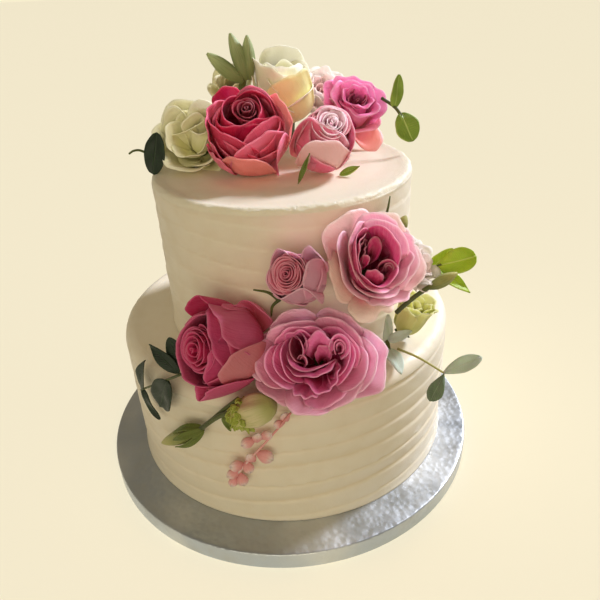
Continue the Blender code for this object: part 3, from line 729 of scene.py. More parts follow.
def rim_sheet(item, spec, number, detail):
    """Points and per-point values of a petal that runs from the foot of its head to a given rim."""
    radius, height = spec["radius"], spec["height"]
    _, arc = curve_through(item["rim"], 8)
    columns = int(np.clip(arc / 0.9, 8, detail)) + 1
    rim, _ = curve_through(item["rim"], columns)
    mean = rim[:, 2].mean()
    if item["about"] is not None:
        centre = np.array(item["about"], float)
        foot_centre, foot_height, inset = centre, mean - 13.0, 0.4
    else:
        share = min(1.0, max(0.0, (mean - 0.25 * height) / (0.65 * height)))
        centre = np.array(spec["heart"]) * share
        foot_centre, inset = np.zeros(2), 0.15
        foot_height = 0.05 * height if item["foot"] >= 80 else 0.12 * height
    out = rim[:, :2] - centre
    away = np.linalg.norm(out, axis=1)
    out = out / np.maximum(away, 0.01)[:, None]
    out = np.concatenate([out, np.zeros((columns, 1))], 1)
    foot = np.zeros((columns, 3))
    foot[:, :2] = foot_centre + out[:, :2] * np.maximum(1.2, inset * away)[:, None]
    foot[:, 2] = foot_height
    lean0 = np.full(columns, radians(item["foot"]))
    lean1 = np.full(columns, radians(item["lean"]))
    bulge = OPEN_BULGE
    if item["wrap"]:
        axis_share = np.clip(np.linalg.norm(rim[:, :2], axis=1) / radius, 0, 1)
        lean1 = -radians(WRAP_LEAN) * (1.0 - axis_share) - radians(2.0)
        bulge = WRAP_BULGE
    length = np.linalg.norm(rim - foot, axis=1)
    up = np.array([0.0, 0.0, 1.0])
    p1 = foot + (length * bulge)[:, None] * (out * np.sin(lean0)[:, None] + up * np.cos(lean0)[:, None])
    p2 = rim - (length * bulge)[:, None] * (out * np.sin(lean1)[:, None] + up * np.cos(lean1)[:, None])
    rows = int(np.clip(length.mean() / 1.3, 7, detail * 0.75)) + 1
    v = (np.linspace(0, 1, rows) ** 0.85)[:, None]
    u = np.linspace(-1, 1, columns)[None, :]
    seed = number * 2.37
    corner = (0.10 if item["about"] is not None else 0.28 if item["depth"] > 1.25 else 0.16) * np.abs(u) ** 4
    ragged = 0.012 * ripple(u * 3.6 * arc / 30.0, 0.0, seed + 5.0)
    along = v * (1.0 - corner + v * ragged)
    grid = bezier(foot[None], p1[None], p2[None], rim[None], along)
    swing = item["wave"] * (0.75 if item["about"] is not None else 1.0)
    roll = 2.0 * item["lip"] * (1.0 + 0.3 * np.sin(2.3 * u + seed))
    curl = np.maximum(0.0, (v - 0.76) / 0.24) ** 2
    side = roll * (curl - v**2) + swing * v**3 * np.sin(item["waves"] * pi * u + seed)
    side = side + 0.5 * v * ripple(u * 1.6 * arc / 30.0, v * 2.0, seed + 11.0)
    lift = 0.45 * roll * (v**2 - curl) + 0.5 * swing * v**3 * np.cos(item["waves"] * 1.3 * pi * u + seed)
    lift = lift + 0.22 * v**4 * ripple(u * 2.4 * arc / 30.0, 0.0 * v, seed + 3.0)
    grid = grid + out[None] * side[..., None] + up * lift[..., None]
    steps = np.linalg.norm(np.diff(grid, axis=1), axis=2)
    left = np.concatenate([np.zeros((rows, 1)), np.cumsum(steps, axis=1)], 1)
    edge = np.minimum((1.0 - v) * length[None], np.minimum(left, left[:, -1:] - left))
    flat = grid.reshape(-1, 3)
    full = np.ones((rows, columns))
    grain = np.stack([left + seed * 9.0, v * length[None], seed * full], -1)
    values = {
        "along": (v * full).ravel(),
        "edge": edge.ravel(),
        "layer": np.full(len(flat), item["depth"]),
        "tone": np.full(len(flat), frac_noise(number, 3)),
        "grain": grain.reshape(-1, 3),
    }
    return flat, columns, rows, values


def aim(azimuth, elevation, spin):
    """The turn that takes +Z to a direction. Azimuth is from the front (-Y) towards +X."""
    a, e = radians(azimuth), radians(elevation)
    axis = Vector((sin(a) * cos(e), -cos(a) * cos(e), sin(e)))
    turn = Vector((0.0, 0.0, 1.0)).rotation_difference(axis)
    return np.array(turn.to_matrix() @ Matrix.Rotation(radians(spin), 3, "Z"))


def camera_turn():
    heading = Matrix.Rotation(CAMERA_HEADING, 3, "Z")
    dip = Matrix.Rotation(pi / 2 - CAMERA_DIP, 3, "X")
    return heading @ dip @ Matrix.Rotation(CAMERA_ROLL, 3, "Z")


def sight(place):
    """The direction from the camera to a place on the picture."""
    focal = CAMERA_LENS / CAMERA_SENSOR * PICTURE_SIDE
    across = (place[0] - PICTURE_SIDE / 2) / focal
    down = (place[1] - PICTURE_SIDE / 2) / focal
    return np.array((camera_turn() @ Vector((across, -down, -1.0))).normalized())


def head_foot(spec, turn):
    return np.array(spec["centre"], float) - turn[:, 2] * 0.5 * spec["height"]


def on_level(spec, place, high):
    """Where the camera sees a place of the picture on a level of the head, in the head's own frame."""
    turn = aim(spec["azimuth"], spec["elevation"], spec["spin"])
    foot = head_foot(spec, turn)
    axis = turn[:, 2]
    looking = sight(place)
    reach = ((foot + axis * high - CAMERA_PLACE) @ axis) / (looking @ axis)
    return turn.T @ (CAMERA_PLACE + looking * reach - foot)


def on_shell(spec, place, share):
    """Where the camera sees a place of the picture on the head's rounded outside, in the head's frame."""
    turn = aim(spec["azimuth"], spec["elevation"], spec["spin"])
    radius, height = spec["radius"], spec["height"]
    away = np.linalg.norm(np.array(spec["centre"], float) - CAMERA_PLACE)
    reach = np.linspace(away - SHELL_SEARCH, away + SHELL_SEARCH, SHELL_STEPS)
    points = (CAMERA_PLACE + reach[:, None] * sight(place) - head_foot(spec, turn)) @ turn
    wide = np.interp(np.clip(points[:, 2] / height, 0, 1), *SHELL_SHAPES[spec["look"]])
    outside = np.hypot(points[:, 0], points[:, 1]) - radius * share * wide
    outside = np.maximum(outside, np.maximum(points[:, 2] - SHELL_TOP * height, -points[:, 2]))
    inside = np.flatnonzero(outside < 0)
    point = points[inside[0] if len(inside) else int(np.argmin(outside))].copy()
    point[2] = min(max(point[2], 0.5), SHELL_TOP * height)
    return point


def measured_petals(spec):
    """The petals with rims picked on the picture, in the head's own frame, and the turns of its middle."""
    made = []
    for item in PETALS[spec["look"]]:
        if item["shell"]:
            rim = [on_shell(spec, place, item["shell"]) for place in item["rim"]]
        else:
            rim = [on_level(spec, place, place[2]) for place in item["rim"]]
        about = item["about"]
        if about is not None:
            about = on_level(spec, about, np.mean([point[2] for point in rim]))[:2]
        made.append({**item, "rim": rim, "about": about})
    if spec["look"] in SWIRLS:
        made += swirl(spec["heart"], *SWIRLS[spec["look"]])
    return made


def head_piece(name, spec, detail):
    """All petals of one head in one mesh."""
    turn = aim(spec["azimuth"], spec["elevation"], spec["spin"])
    radius, height = spec["radius"], spec["height"]
    sheets = []
    for number, layer in enumerate(spec["layers"]):
        for i in range(layer["n"]):
            sheets.append(petal_sheet(layer, i, layer.get("number", number + 20), radius, height, detail))
    if spec["look"] in PETALS:
        spec = {**spec, "heart": on_level(spec, HEARTS[spec["look"]], HEART_LEVEL * height)[:2]}
        for number, item in enumerate(measured_petals(spec)):
            sheets.append(rim_sheet(item, spec, number, detail * 2))
    points, faces, data, start = [], [], {}, 0
    for sheet, columns, rows, values in sheets:
        sheet = sheet - np.array([0.0, 0.0, 0.5 * height])
        points.append(sheet @ turn.T + np.array(spec["centre"], float))
        faces.append(grid_faces(columns, rows, start))
        start += columns * rows
        for key, value in values.items():
            data.setdefault(key, []).append(value)
    merged = {key: np.concatenate(value) for key, value in data.items()}
    return mesh_piece(name, np.concatenate(points), np.concatenate(faces), merged)


def petal(depth, rim, foot=84, lean=40, lip=0.5, wave=0.0, waves=3, about=None, wrap=False, shell=None):
    """One petal given by its rim: across and down on the picture, and the height above the foot of the head.

    depth is 0 at the heart, 1 outside and above 1.2 on the guard petals. foot and lean are the angles from
    the axis at the foot and at the rim. A wrapping petal leans in over the bud, as do all with a shell. about
    is the axis of a small folded petal.
    With shell, the rim has no heights and lies on the head's rounded outside, made larger by that share.
    """
    return {
        "depth": depth,
        "rim": rim,
        "foot": foot,
        "lean": lean,
        "lip": lip,
        "wave": wave,
        "waves": waves,
        "about": about,
        "wrap": wrap or shell is not None,
        "shell": shell,
    }


# Widths of a head's rounded outside at shares of its height
BUD_SHAPE = (
    (0, 0.06, 0.15, 0.28, 0.42, 0.55, 0.7, 0.82, 0.92, 1),
    (0.22, 0.45, 0.74, 0.92, 1, 0.99, 0.92, 0.8, 0.66, 0.5),
)
ROSE_SHAPE = ((0, 0.06, 0.15, 0.3, 0.45, 0.6, 0.75, 0.88, 1), (0.2, 0.45, 0.72, 0.92, 1, 1, 0.97, 0.9, 0.8))
SHELL_SHAPES = {"spray": BUD_SHAPE, "pale": BUD_SHAPE, "coral": ROSE_SHAPE, "deep": ROSE_SHAPE}
SHELL_TOP = 0.9
SHELL_SEARCH = 70.0
SHELL_STEPS = 2800

# The middle of each head on the picture, seen at this share of its height
HEART_LEVEL = 0.9
HEARTS = {
    "garden": (311, 358),
    "cupped": (379, 260),
    "spray": (286, 274),
    "coral": (195, 350),
    "deep": (246, 108),
    "pale": (333, 121),
    "bright": (359, 97),
    "white": (284, 58),
    "ivory": (195, 116),
}
PETALS = {
    "garden": [
        petal(1, [(262, 340, 13), (266, 330, 17), (276, 319, 19), (288, 311, 20), (301, 308.5, 20),
        (314, 311, 19), (323, 318, 16)], lean=48),
        petal(1, [(311, 314, 15), (325, 307, 19), (340, 310, 20), (353, 319, 20), (364, 330, 19),
        (372, 342, 15)], lean=46),
        petal(1.1, [(350, 322, 15), (364, 325, 20), (377, 336, 21), (387, 348.5, 21), (386.5, 360, 21),
        (386, 375, 20.5), (384, 390, 20), (371, 397, 19), (356, 404, 16)]),
        petal(0.95, [(321, 414, 14), (328, 414, 18), (341, 407, 20), (355, 397, 21), (364, 383, 21),
        (370, 368, 17)], lean=44),
        petal(0.95, [(282, 394, 15), (284, 402, 19), (289, 410, 20), (297, 416, 20), (309, 415.5, 20.5),
        (321, 415, 20), (331, 411, 18), (338, 402, 15)], lean=42),
        petal(1, [(252, 374, 13), (255, 384, 17), (266, 395, 18.5), (276, 402, 18.5), (286, 408, 16),
        (290, 400, 13)], lean=46),
        petal(1, [(270, 324, 13), (258, 337, 17), (252, 352, 18.5), (250.5, 366, 18.5), (254, 380, 17),
        (262, 389, 13)], lean=46),
        petal(0.85, [(262, 346, 17), (267, 333, 22), (279, 324, 24), (296, 321.5, 24.5), (312, 319, 24),
        (322, 322, 20)], foot=74, lean=38),
        petal(0.85, [(305, 324, 19), (318, 317, 24), (334, 318, 24.5), (349, 325, 24.5), (360, 336, 24),
        (367, 351, 23), (368, 364, 19)], foot=74, lean=36),
        petal(0.85, [(272, 330, 17), (260, 341, 22), (256, 355, 23.5), (256, 368, 23.5), (261, 380, 23),
        (272, 389, 22), (286, 392, 18)], foot=74, lean=38),
        petal(1, [(357, 329, 19), (369, 341, 24), (378, 354, 25), (377, 368, 25), (372, 381, 24),
        (363, 391, 23), (352, 400, 18)], foot=74, lean=34),
        petal(0.8, [(300, 399, 14), (306, 407, 17), (318, 409, 18.5), (332, 405, 20), (345, 397, 20),
        (354, 386, 18)], foot=74, lean=34),
        petal(0.7, [(270, 347, 20), (276, 335, 25), (289, 328, 27), (305, 326.5, 27), (320, 328, 27),
        (332, 330, 25)], foot=66, lean=28, wave=0.5),
        petal(0.7, [(318, 327, 22), (332, 326, 26), (344, 331, 27), (355, 341, 27), (361, 354, 26),
        (361, 368, 22)], foot=66, lean=28),
        petal(0.7, [(276, 337, 20), (267, 350, 26), (264.5, 363, 27), (269, 376, 27), (278, 385, 27),
        (287, 391.5, 26), (293, 388, 21)], foot=66, lean=28),
        petal(0.85, [(356, 338, 22), (366, 350, 26), (369, 362, 26.5), (365, 375, 26), (356, 387, 25),
        (344, 396, 21)], foot=66, lean=26),
        petal(0.7, [(289, 384, 20), (293, 392, 24), (299, 397, 25.5), (308, 398.5, 26), (316, 397.5, 26),
        (321, 391, 22)], foot=66, lean=22, wave=0.9, waves=4),
        petal(0.6, [(282, 337, 22), (275, 349, 27.5), (273.5, 361, 28.5), (277, 372, 28.5),
        (284, 381, 28), (291, 387, 24)], foot=60, lean=20),
        petal(0.6, [(279, 344, 23), (286, 334, 28), (296, 330.5, 29), (307, 332, 28.5),
        (315, 336, 25)], foot=60, lean=20, wave=0.6),
        petal(0.65, [(340, 333, 23), (350, 341, 27.5), (355, 353, 28.5), (353.5, 366, 28.5),
        (347, 378, 27.5), (339, 388, 23)], foot=60, lean=20),
        petal(0.6, [(302, 381, 22), (311, 389, 26.5), (320, 393, 27.5), (327.5, 392, 27.5),
        (331, 385, 26), (330, 378, 22)], foot=60, lean=18, wave=0.8),
        petal(0.5, [(291, 334, 24), (283, 343, 28.5), (279.5, 354, 29.5), (281, 364, 29.5),
        (286, 374, 29.5), (294, 381, 28), (301, 384, 24)], foot=56, lean=12),
        petal(0.55, [(323, 388, 23), (331, 388, 27.5), (336.5, 381, 28.5), (340, 371, 28.5),
        (341, 361, 25)], foot=56, lean=12, wave=0.6),
        petal(0.55, [(344, 336, 25), (350, 345, 29), (350, 356, 29.5), (346, 367, 29.5), (339, 376, 28),
        (332, 381, 24)], foot=56, lean=12),
        petal(0.45, [(284, 362, 26), (290, 371, 29.5), (299, 376.5, 30.5), (310, 378, 31),
        (321, 375.5, 31), (331, 369, 30.5),
        (338, 359, 28)], foot=52, lean=8, lip=1.6, wave=0.35, waves=4),
        petal(0.4, [(287, 346, 26), (287, 356, 29.5), (292, 366, 31), (302, 371, 31.5),
        (313, 370.5, 31.5), (325, 366, 31), (336, 358, 29)], foot=50, lean=4, lip=1.4),
        petal(0.15, [(293, 333, 25), (289.5, 341, 29.5), (290, 351, 30.5), (295, 360, 30),
        (303, 364, 27)], foot=30, lean=2, lip=0.8),
        petal(0.3, [(294, 334, 26), (299, 339, 30.5), (302, 347, 31), (302, 355, 30),
        (299, 360, 27)], foot=20, lean=4, lip=0.5, about=(311, 350)),
        petal(0.35, [(300, 331.5, 27), (305, 337, 31), (307, 345, 31),
        (304, 352, 28)], foot=20, lean=4, lip=0.5, about=(315, 345)),
        petal(0.3, [(295, 361, 25), (300, 355, 29), (305, 357, 30), (307, 363, 29),
        (304, 367, 25)], foot=20, lean=2, lip=0.5, about=(301, 362)),
        petal(0.55, [(303, 352, 24), (306, 342, 29.5), (312, 334, 32), (321, 331, 32.5), (329, 336, 32),
        (334, 346, 29),
        (332, 353, 24)], foot=10, lean=34, lip=0.8, wave=0.9, about=(318, 362)),
        petal(0.45, [(314, 358, 23), (317, 349, 28), (324, 345, 30), (330, 349, 29),
        (333, 357, 24)], foot=10, lean=30, lip=0.6, wave=0.7, waves=4, about=(322, 366)),
        petal(0.6, [(330, 357, 25), (328.5, 347, 30), (332, 337, 32), (339, 333, 32.5), (346, 337, 32.5),
        (349.5, 346, 32), (347, 355, 31),
        (341, 360, 27)], foot=14, lean=10, lip=0.6, about=(339, 347)),
        petal(0.55, [(345, 358, 26), (346, 350, 30.5), (345, 343, 31.5), (340, 339, 31.5),
        (335, 341, 31), (333, 348, 30.5),
        (335, 355, 28)], foot=12, lean=6, lip=0.4, about=(340, 349)),
        petal(0.5, [(336, 350, 27), (336.5, 345, 30.5), (340, 342.5, 31), (343, 346, 31), (342, 352, 30),
        (338, 354, 27)], foot=10, lean=4, lip=0.3, about=(340, 348)),
    ],
    "cupped": [
        petal(1.4, [(350, 302, 6), (346, 311, 9), (352, 318, 10), (359, 322, 10), (369, 322.5, 10),
        (376, 318, 10), (382, 312.5, 10), (396, 313, 9),
        (400, 303, 6)], lean=86, wave=0.5, waves=5),
        petal(1.5, [(329, 226, 9), (323, 236, 12), (325.5, 252, 12), (328, 266, 11), (331, 281, 10),
        (336, 296, 9), (346, 308, 8), (355, 306, 6)], lean=70, wave=0.4),
        petal(1.2, [(326, 262, 13), (323, 247, 17), (322.5, 233, 20), (332, 223, 21), (343, 214, 22),
        (354, 209, 22), (366, 206.5, 21), (375, 212, 17)], lean=46),
        petal(1.3, [(365, 216, 15), (374, 211, 19), (383, 210.5, 22), (393, 214, 22), (401, 219, 21.5),
        (407, 229, 20), (409, 241, 15)], lean=44, wave=0.5),
        petal(1.2, [(396, 217, 16), (408, 229, 20), (414.5, 243, 21.5), (422, 254, 22), (426, 264, 21.5),
        (424, 278, 21), (417, 289, 19.5), (408, 297, 16)], lean=44, wave=0.6, waves=4),
        petal(1.1, [(419, 284, 14), (410, 296, 18), (398, 303.5, 19.5), (386, 306.5, 20),
        (372, 306, 19.5), (361, 301, 15)], lean=46, wave=0.5, waves=4),
        petal(1, [(378, 304, 15), (364, 301, 19), (352, 293, 21), (344, 281, 22), (340, 267, 21),
        (339, 254, 16)]),
        petal(1.1, [(352, 292, 18), (344, 279, 22), (339, 264, 24), (337, 249, 24.5), (339, 235, 24),
        (346, 224, 21)], foot=78, lean=34),
        petal(1.1, [(400, 222, 20), (409, 233, 24), (416, 247, 25), (419, 261, 25), (416, 274, 24),
        (409, 285, 22), (400, 293, 18)], foot=76, lean=34, wave=0.6),
        petal(1.1, [(352, 222, 19), (360, 214, 23), (371, 211.5, 24.5), (384, 215, 25), (396, 220, 24),
        (404, 229, 20)], foot=76, lean=36),
        petal(1, [(405, 286, 19), (395, 296, 22.5), (382, 299, 23.5), (368, 296, 23), (357, 288, 22),
        (350, 278, 18)], foot=76, lean=32),
        petal(0.85, [(360, 283, 23), (353, 270, 27.5), (350, 256, 29.5), (349.5, 242, 30.5),
        (353, 229, 30.5), (360, 219.5, 30), (369, 216, 26)], foot=70, lean=14, lip=1.3),
        petal(0.85, [(362, 222, 25), (372, 217, 29.5), (385, 220, 30.5), (397, 227, 30.5),
        (406, 238, 30), (410, 251, 28), (410, 261, 24)], foot=70, lean=16, lip=1.3),
        petal(0.85, [(409, 242, 24), (413, 254, 28.5), (411, 267, 29.5), (405, 279, 29), (396, 288, 28),
        (384, 292, 24)], foot=70, lean=16, lip=1.2, wave=0.5),
        petal(0.8, [(398, 287, 24), (387, 292.5, 28), (374, 291, 29), (363, 284, 29), (355, 273, 28),
        (351, 262, 24)], foot=70, lean=14, lip=1.2),
        petal(0.6, [(369, 282, 27), (360, 272, 31.5), (356, 260, 33.5), (355.5, 248, 34.5),
        (358, 236, 34.5), (365, 227.5, 34), (374, 226, 31)], foot=60, lean=2, lip=1.0),
        petal(0.55, [(366, 229, 29), (375, 225, 33), (386, 228, 34.5), (395, 237, 34.5), (401, 248, 34),
        (402, 260, 32), (400, 268, 28)], foot=60, lean=4, lip=1.0),
        petal(0.6, [(402, 259, 28), (399, 271, 32), (392, 281, 33), (382, 286.5, 33), (371, 283, 32.5),
        (362, 275, 31), (357, 265, 28)], foot=60, lean=2, lip=1.0),
        petal(0.4, [(368, 279, 26), (360, 268, 30), (358, 256, 31.5), (360, 243, 32), (366, 234, 31),
        (374, 232, 27)], foot=50, lean=0, lip=0.6, wave=0.5, waves=4),
        petal(0.35, [(358, 264, 20), (359.5, 254, 26), (361, 244, 28), (365, 238, 27),
        (369, 240, 23)], foot=20, lean=4, lip=0.5, wave=0.5, waves=5, about=(367, 252)),
        petal(0.4, [(361, 266, 20), (364, 257, 26.5), (366, 248, 27.5),
        (366, 241, 24)], foot=18, lean=6, lip=0.5, wave=0.7, waves=5, about=(373, 253)),
        petal(0.5, [(359, 259, 22), (364, 254, 27), (370, 257, 28), (368, 264, 26),
        (362, 267, 22)], foot=14, lean=24, lip=0.7, about=(364, 268)),
        petal(0.5, [(367.5, 256, 20), (368.5, 244, 26.5), (373, 237, 29), (379, 237, 29.5),
        (382, 246, 28), (380, 257, 23)], foot=8, lean=26, lip=0.9, about=(375, 262)),
        petal(0.4, [(381, 250, 21), (383, 240, 27), (389, 237, 29), (394, 244, 29),
        (396, 253, 26)], foot=10, lean=22, lip=0.7, about=(386, 257)),
        petal(0.45, [(378, 272, 22), (380, 263, 27.5), (387, 258.5, 29.5), (394, 260.5, 29.5),
        (398, 268, 29), (394, 276, 27), (387, 279, 23)], foot=14, lean=8, lip=0.6, about=(388, 268)),
        petal(0.4, [(384, 278, 22), (391, 275, 27), (394, 268, 28.5), (391, 263, 28.5), (385, 264, 28),
        (382, 270, 25)], foot=12, lean=6, lip=0.5, about=(388, 269)),
        petal(0.35, [(386, 272, 23), (386, 267, 27.5), (389, 265.5, 28), (391.5, 268, 27.5),
        (390, 273, 24)], foot=10, lean=4, lip=0.3, about=(388.5, 269)),
        petal(0.65, [(363, 277, 22), (368, 270, 27), (376, 269.5, 28.5), (383, 274, 29),
        (386, 281, 26)], foot=8, lean=30, lip=0.8, wave=0.5, waves=4, about=(374, 286)),
    ],
    "spray": [
        petal(0.9, [(268, 276, 17), (270, 265, 22), (273, 256, 26), (277, 249.5, 28), (283, 250.5, 28),
        (289, 255, 26), (293, 260, 22)], foot=80, lean=-6),
        petal(1.1, [(298, 260, 22), (302, 253, 27), (305, 247.5, 29), (309.5, 245.8, 30), (314, 250, 29),
        (320, 257, 27), (326, 266, 23)], foot=80, lean=6),
        petal(1, [(299, 296), (300.5, 289), (302.5, 279), (305, 269), (308.5, 262), (316, 258),
        (324, 262)], shell=1.0),
        petal(0.9, [(272, 263), (267.5, 272), (267, 281), (271, 290), (277, 296),
        (284, 298)], shell=1.0),
        petal(1, [(270, 291), (277, 297.5), (283, 298), (292, 293), (301, 289), (307.5, 290), (314, 297),
        (319, 304)], shell=1.06),
    ],
    "coral": [
        petal(0.3, [(192, 321, 26), (185, 312, 33), (185, 307, 36), (191, 300, 38), (197, 295.4, 39),
        (203, 299, 38), (209, 307, 35), (212, 315, 30)], foot=80, lean=-4),
        petal(1, [(212, 311), (218, 305), (228, 303.5), (235, 304.5), (242, 300.5), (249, 302),
        (258, 310), (266, 319)], shell=1.0),
        petal(0.8, [(199, 302), (206, 306), (215, 315.5), (221.5, 327), (224, 338), (227, 346),
        (233.5, 351), (236, 356)], lip=1.4, shell=1.02),
        petal(0.55, [(203, 303), (206, 312), (207, 322), (208.5, 338), (212, 350), (216, 362),
        (215.5, 370), (211, 376)], lip=1.2, shell=0.9),
        petal(1.3, [(243, 342), (236, 350), (229, 358), (222, 370), (214, 378),
        (206, 385)], lip=0.8, shell=1.08),
        petal(0.5, [(186, 380), (191, 386), (198, 400), (204, 397), (211, 388),
        (222, 382)], lip=0.4, shell=1.02),
        petal(0.7, [(191, 318), (181, 328), (176, 343), (177, 357), (180, 369), (184, 380), (192, 386),
        (200, 384)], lip=0.8, shell=1.0),
        petal(0.5, [(196, 384), (203, 374), (208, 362), (209, 350),
        (207, 338)], lip=0.8, shell=0.86),
    ],
    "deep": [
        petal(0.6, [(214, 110, 18), (212, 100, 24), (216, 93, 28), (223.5, 87.5, 30), (231, 86, 30),
        (237, 87, 29), (243, 92, 24)], foot=80, lean=-2, wave=0.4),
        petal(1.4, [(262, 90), (269, 88.6), (278, 94.7), (285, 105), (290, 114), (291.5, 120),
        (289, 127), (284, 130)], wave=0.4, waves=4, shell=1.04),
        petal(0.9, [(236, 95), (241, 89), (250, 85.8), (260, 88), (267, 92.5), (272, 99),
        (275, 105)], shell=0.98),
        petal(0.8, [(226, 92), (213, 101), (207, 110), (206.5, 122), (207.5, 133), (211, 143),
        (217, 150), (224, 155)], wave=0.5, waves=5, shell=1.04),
        petal(0.9, [(206, 135), (206.5, 143), (207, 149), (213, 155), (221, 159),
        (230, 163)], wave=0.5, waves=4, shell=1.07),
        petal(0.5, [(246, 88), (254, 95), (259, 101.5), (261, 108), (260, 114), (256, 118),
        (250, 120)], lip=0.9, shell=0.72),
        petal(0.55, [(232, 101), (240, 93), (250, 90), (260, 93), (268, 99), (273, 108),
        (272, 114)], lip=0.8, shell=0.84),
        petal(0.5, [(244, 91), (232, 95), (224, 102), (221.5, 109), (223, 117), (228, 122.5),
        (236, 124.5), (247, 122.5), (257, 118), (263, 114)], lip=0.9, shell=0.78),
        petal(0.6, [(216, 108), (217, 118), (222, 125.5), (234, 125.5), (247, 123), (262, 116.8),
        (270, 110.5), (273, 113)], lip=1.1, shell=0.88),
        petal(0.8, [(238, 143), (244, 138), (253, 130), (262, 122), (270, 116), (276, 112),
        (281, 113)], lip=1.0, shell=0.96),
        petal(0.7, [(208, 108), (208, 116), (210.5, 123), (217, 129.5), (224, 134), (233, 138),
        (243, 139.5), (252, 141), (258, 140)], lip=1.2, shell=0.98),
        petal(1.1, [(228, 160), (233.5, 154.5), (242.5, 147), (253.5, 140.3), (267, 132.5), (278, 128.5),
        (283, 125.5), (288, 127)], lip=1.0, shell=1.03),
        petal(1.1, [(279, 173), (277.5, 162), (277.5, 151), (279, 141), (282, 134), (286, 129),
        (290, 130)], lip=0.5, shell=1.06),
        petal(1.3, [(214, 151), (221, 153.5), (228, 154.5), (237, 157), (250, 159.5), (262.5, 162),
        (272, 166), (279, 171)], lip=0.8, wave=0.3, waves=4, shell=1.08),
    ],
    "pale": [
        petal(1, [(291, 140), (296, 128), (304, 120), (311.5, 117.5), (318, 122), (327, 127), (337, 133),
        (345, 140)], lip=0.7, shell=1.0),
        petal(1, [(345, 111), (351, 117), (353.5, 127), (355, 136), (354, 143),
        (350, 149)], lip=0.8, shell=1.0),
        petal(1.3, [(298, 154), (302, 148), (306, 143.5), (312, 140.8), (322, 140.5), (334, 141.3),
        (346, 143.5), (352, 142.5), (355, 145)], lip=0.6, shell=1.06),
        petal(0.8, [(309, 122), (313, 116.5), (322, 123), (331.5, 127.5), (341, 132), (348, 139),
        (352, 139)], lip=0.8, shell=0.86),
        petal(0.8, [(311, 119), (312, 113.5), (318, 110), (326, 107.6), (335, 108), (344, 112),
        (350, 119), (353, 128)], lip=0.7, shell=0.86),
    ],
    "bright": [
        petal(1.4, [(350, 134, 7), (356, 143, 9), (364, 150, 11), (373, 151.5, 12), (381, 146, 11),
        (385, 136, 9), (384, 126, 7)], lean=66, lip=0.9),
        petal(1.3, [(322, 98, 8), (326, 112, 11), (334, 123, 13), (344, 130, 13),
        (352, 134, 11)], lean=56, wave=0.4),
        petal(1, [(338, 120, 12), (328, 110, 15), (323, 96, 17), (324, 84, 18), (330, 77, 18),
        (338, 75, 16)], lean=44, wave=0.6),
        petal(1, [(328, 83, 16), (334, 76, 20), (345, 76, 21), (358, 78.5, 21), (371, 81.5, 20),
        (380, 88, 17)], lean=44, wave=0.6),
        petal(1.1, [(368, 80, 16), (379, 87, 19), (386, 96, 20), (387.5, 106, 20), (383, 115, 19),
        (378, 124, 16)], lean=44, wave=0.7),
        petal(1.2, [(386, 108, 13), (381, 122, 16), (370, 131, 17), (356, 132, 17), (343, 126, 16),
        (334, 116, 13)], lean=46, wave=0.8),
        petal(0.9, [(347, 118, 20), (337, 108, 24), (332, 97, 25), (333, 87, 25), (339, 80, 24),
        (347, 79, 21)], foot=76, lean=34, lip=1.2, wave=0.5),
        petal(0.85, [(338, 86, 22), (344, 80, 26), (355, 80.5, 27), (367, 84, 26.5), (376, 91, 25),
        (380, 99, 22)], foot=76, lean=30, lip=1.2, wave=0.5),
        petal(1, [(382, 96, 21), (381, 106, 25), (374, 114, 26), (362, 117, 26), (351, 113, 26),
        (342, 105, 24), (338, 96, 21)], foot=76, lean=32, lip=1.4, wave=0.6),
        petal(0.6, [(357, 110, 24), (348, 104, 28), (343, 97, 29), (344, 89, 29),
        (350, 84, 27)], foot=66, lean=20, lip=1.2, wave=0.5),
        petal(0.6, [(345, 92, 26), (351, 85.5, 29.5), (360, 85, 30), (368, 89, 29.5),
        (373, 96, 27)], foot=66, lean=18, lip=1.2, wave=0.5),
        petal(0.7, [(374, 93, 26), (373, 102, 29), (366, 107.5, 30), (357, 107, 30),
        (350, 102, 28)], foot=66, lean=20, lip=1.2, wave=0.5),
        petal(0.25, [(351, 100, 22), (350, 93, 26), (355, 89, 27),
        (362, 90, 26)], foot=40, lean=4, wave=0.5),
        petal(0.2, [(359, 89, 22), (366, 93, 26), (366, 100, 27),
        (360, 103, 25)], foot=40, lean=4, wave=0.5),
    ],
    "white": [
        petal(0.5, [(256, 60, 34), (260, 51, 36), (267, 47, 36), (276, 46, 36), (286, 46, 35),
        (296, 48, 34), (303, 55, 31), (305, 65, 24.5)], wrap=True, lip=0.6),
        petal(0.7, [(263, 56, 34), (268, 63, 38), (276, 67, 39.5), (285, 67, 39.5), (293, 63, 38.5),
        (298, 56, 36)], wrap=True, lip=0.4),
        petal(1, [(254, 84, 26), (250, 70, 30), (251, 57, 33), (257, 61, 36), (267, 67, 38),
        (277, 71, 39), (287, 74, 39), (296, 72, 38), (303, 68, 36)], wrap=True, lip=0.7),
        petal(1.3, [(258, 96, 24), (264, 89, 30), (271, 85, 34), (280, 80, 37), (290, 75, 39),
        (299, 71, 39), (306, 68, 37), (310, 75, 32), (312, 88, 25)], wrap=True, lip=0.6),
    ],
    "ivory": [
        petal(0.9, [(160, 140, 18), (161, 126, 25), (164, 115, 29), (170, 107, 31), (176, 106, 31),
        (183, 113, 29), (188, 120, 25)], foot=74, lean=30, wave=0.45, waves=2),
        petal(0.9, [(182, 122, 25), (186, 112, 30), (191, 104.5, 33), (198, 100, 34), (206, 99.5, 34),
        (213, 104, 33), (219, 112, 29)], foot=74, lean=22, wave=0.45, waves=2),
        petal(0.6, [(182, 134, 24), (182, 124, 29), (188, 116, 31), (197, 112, 31),
        (206, 115, 28)], foot=60, lean=10, wave=0.4, waves=2),
        petal(0.6, [(210, 116, 25), (211, 126, 29), (204, 132, 30), (194, 133, 30),
        (186, 129, 26)], foot=60, lean=14, wave=0.4, waves=2),
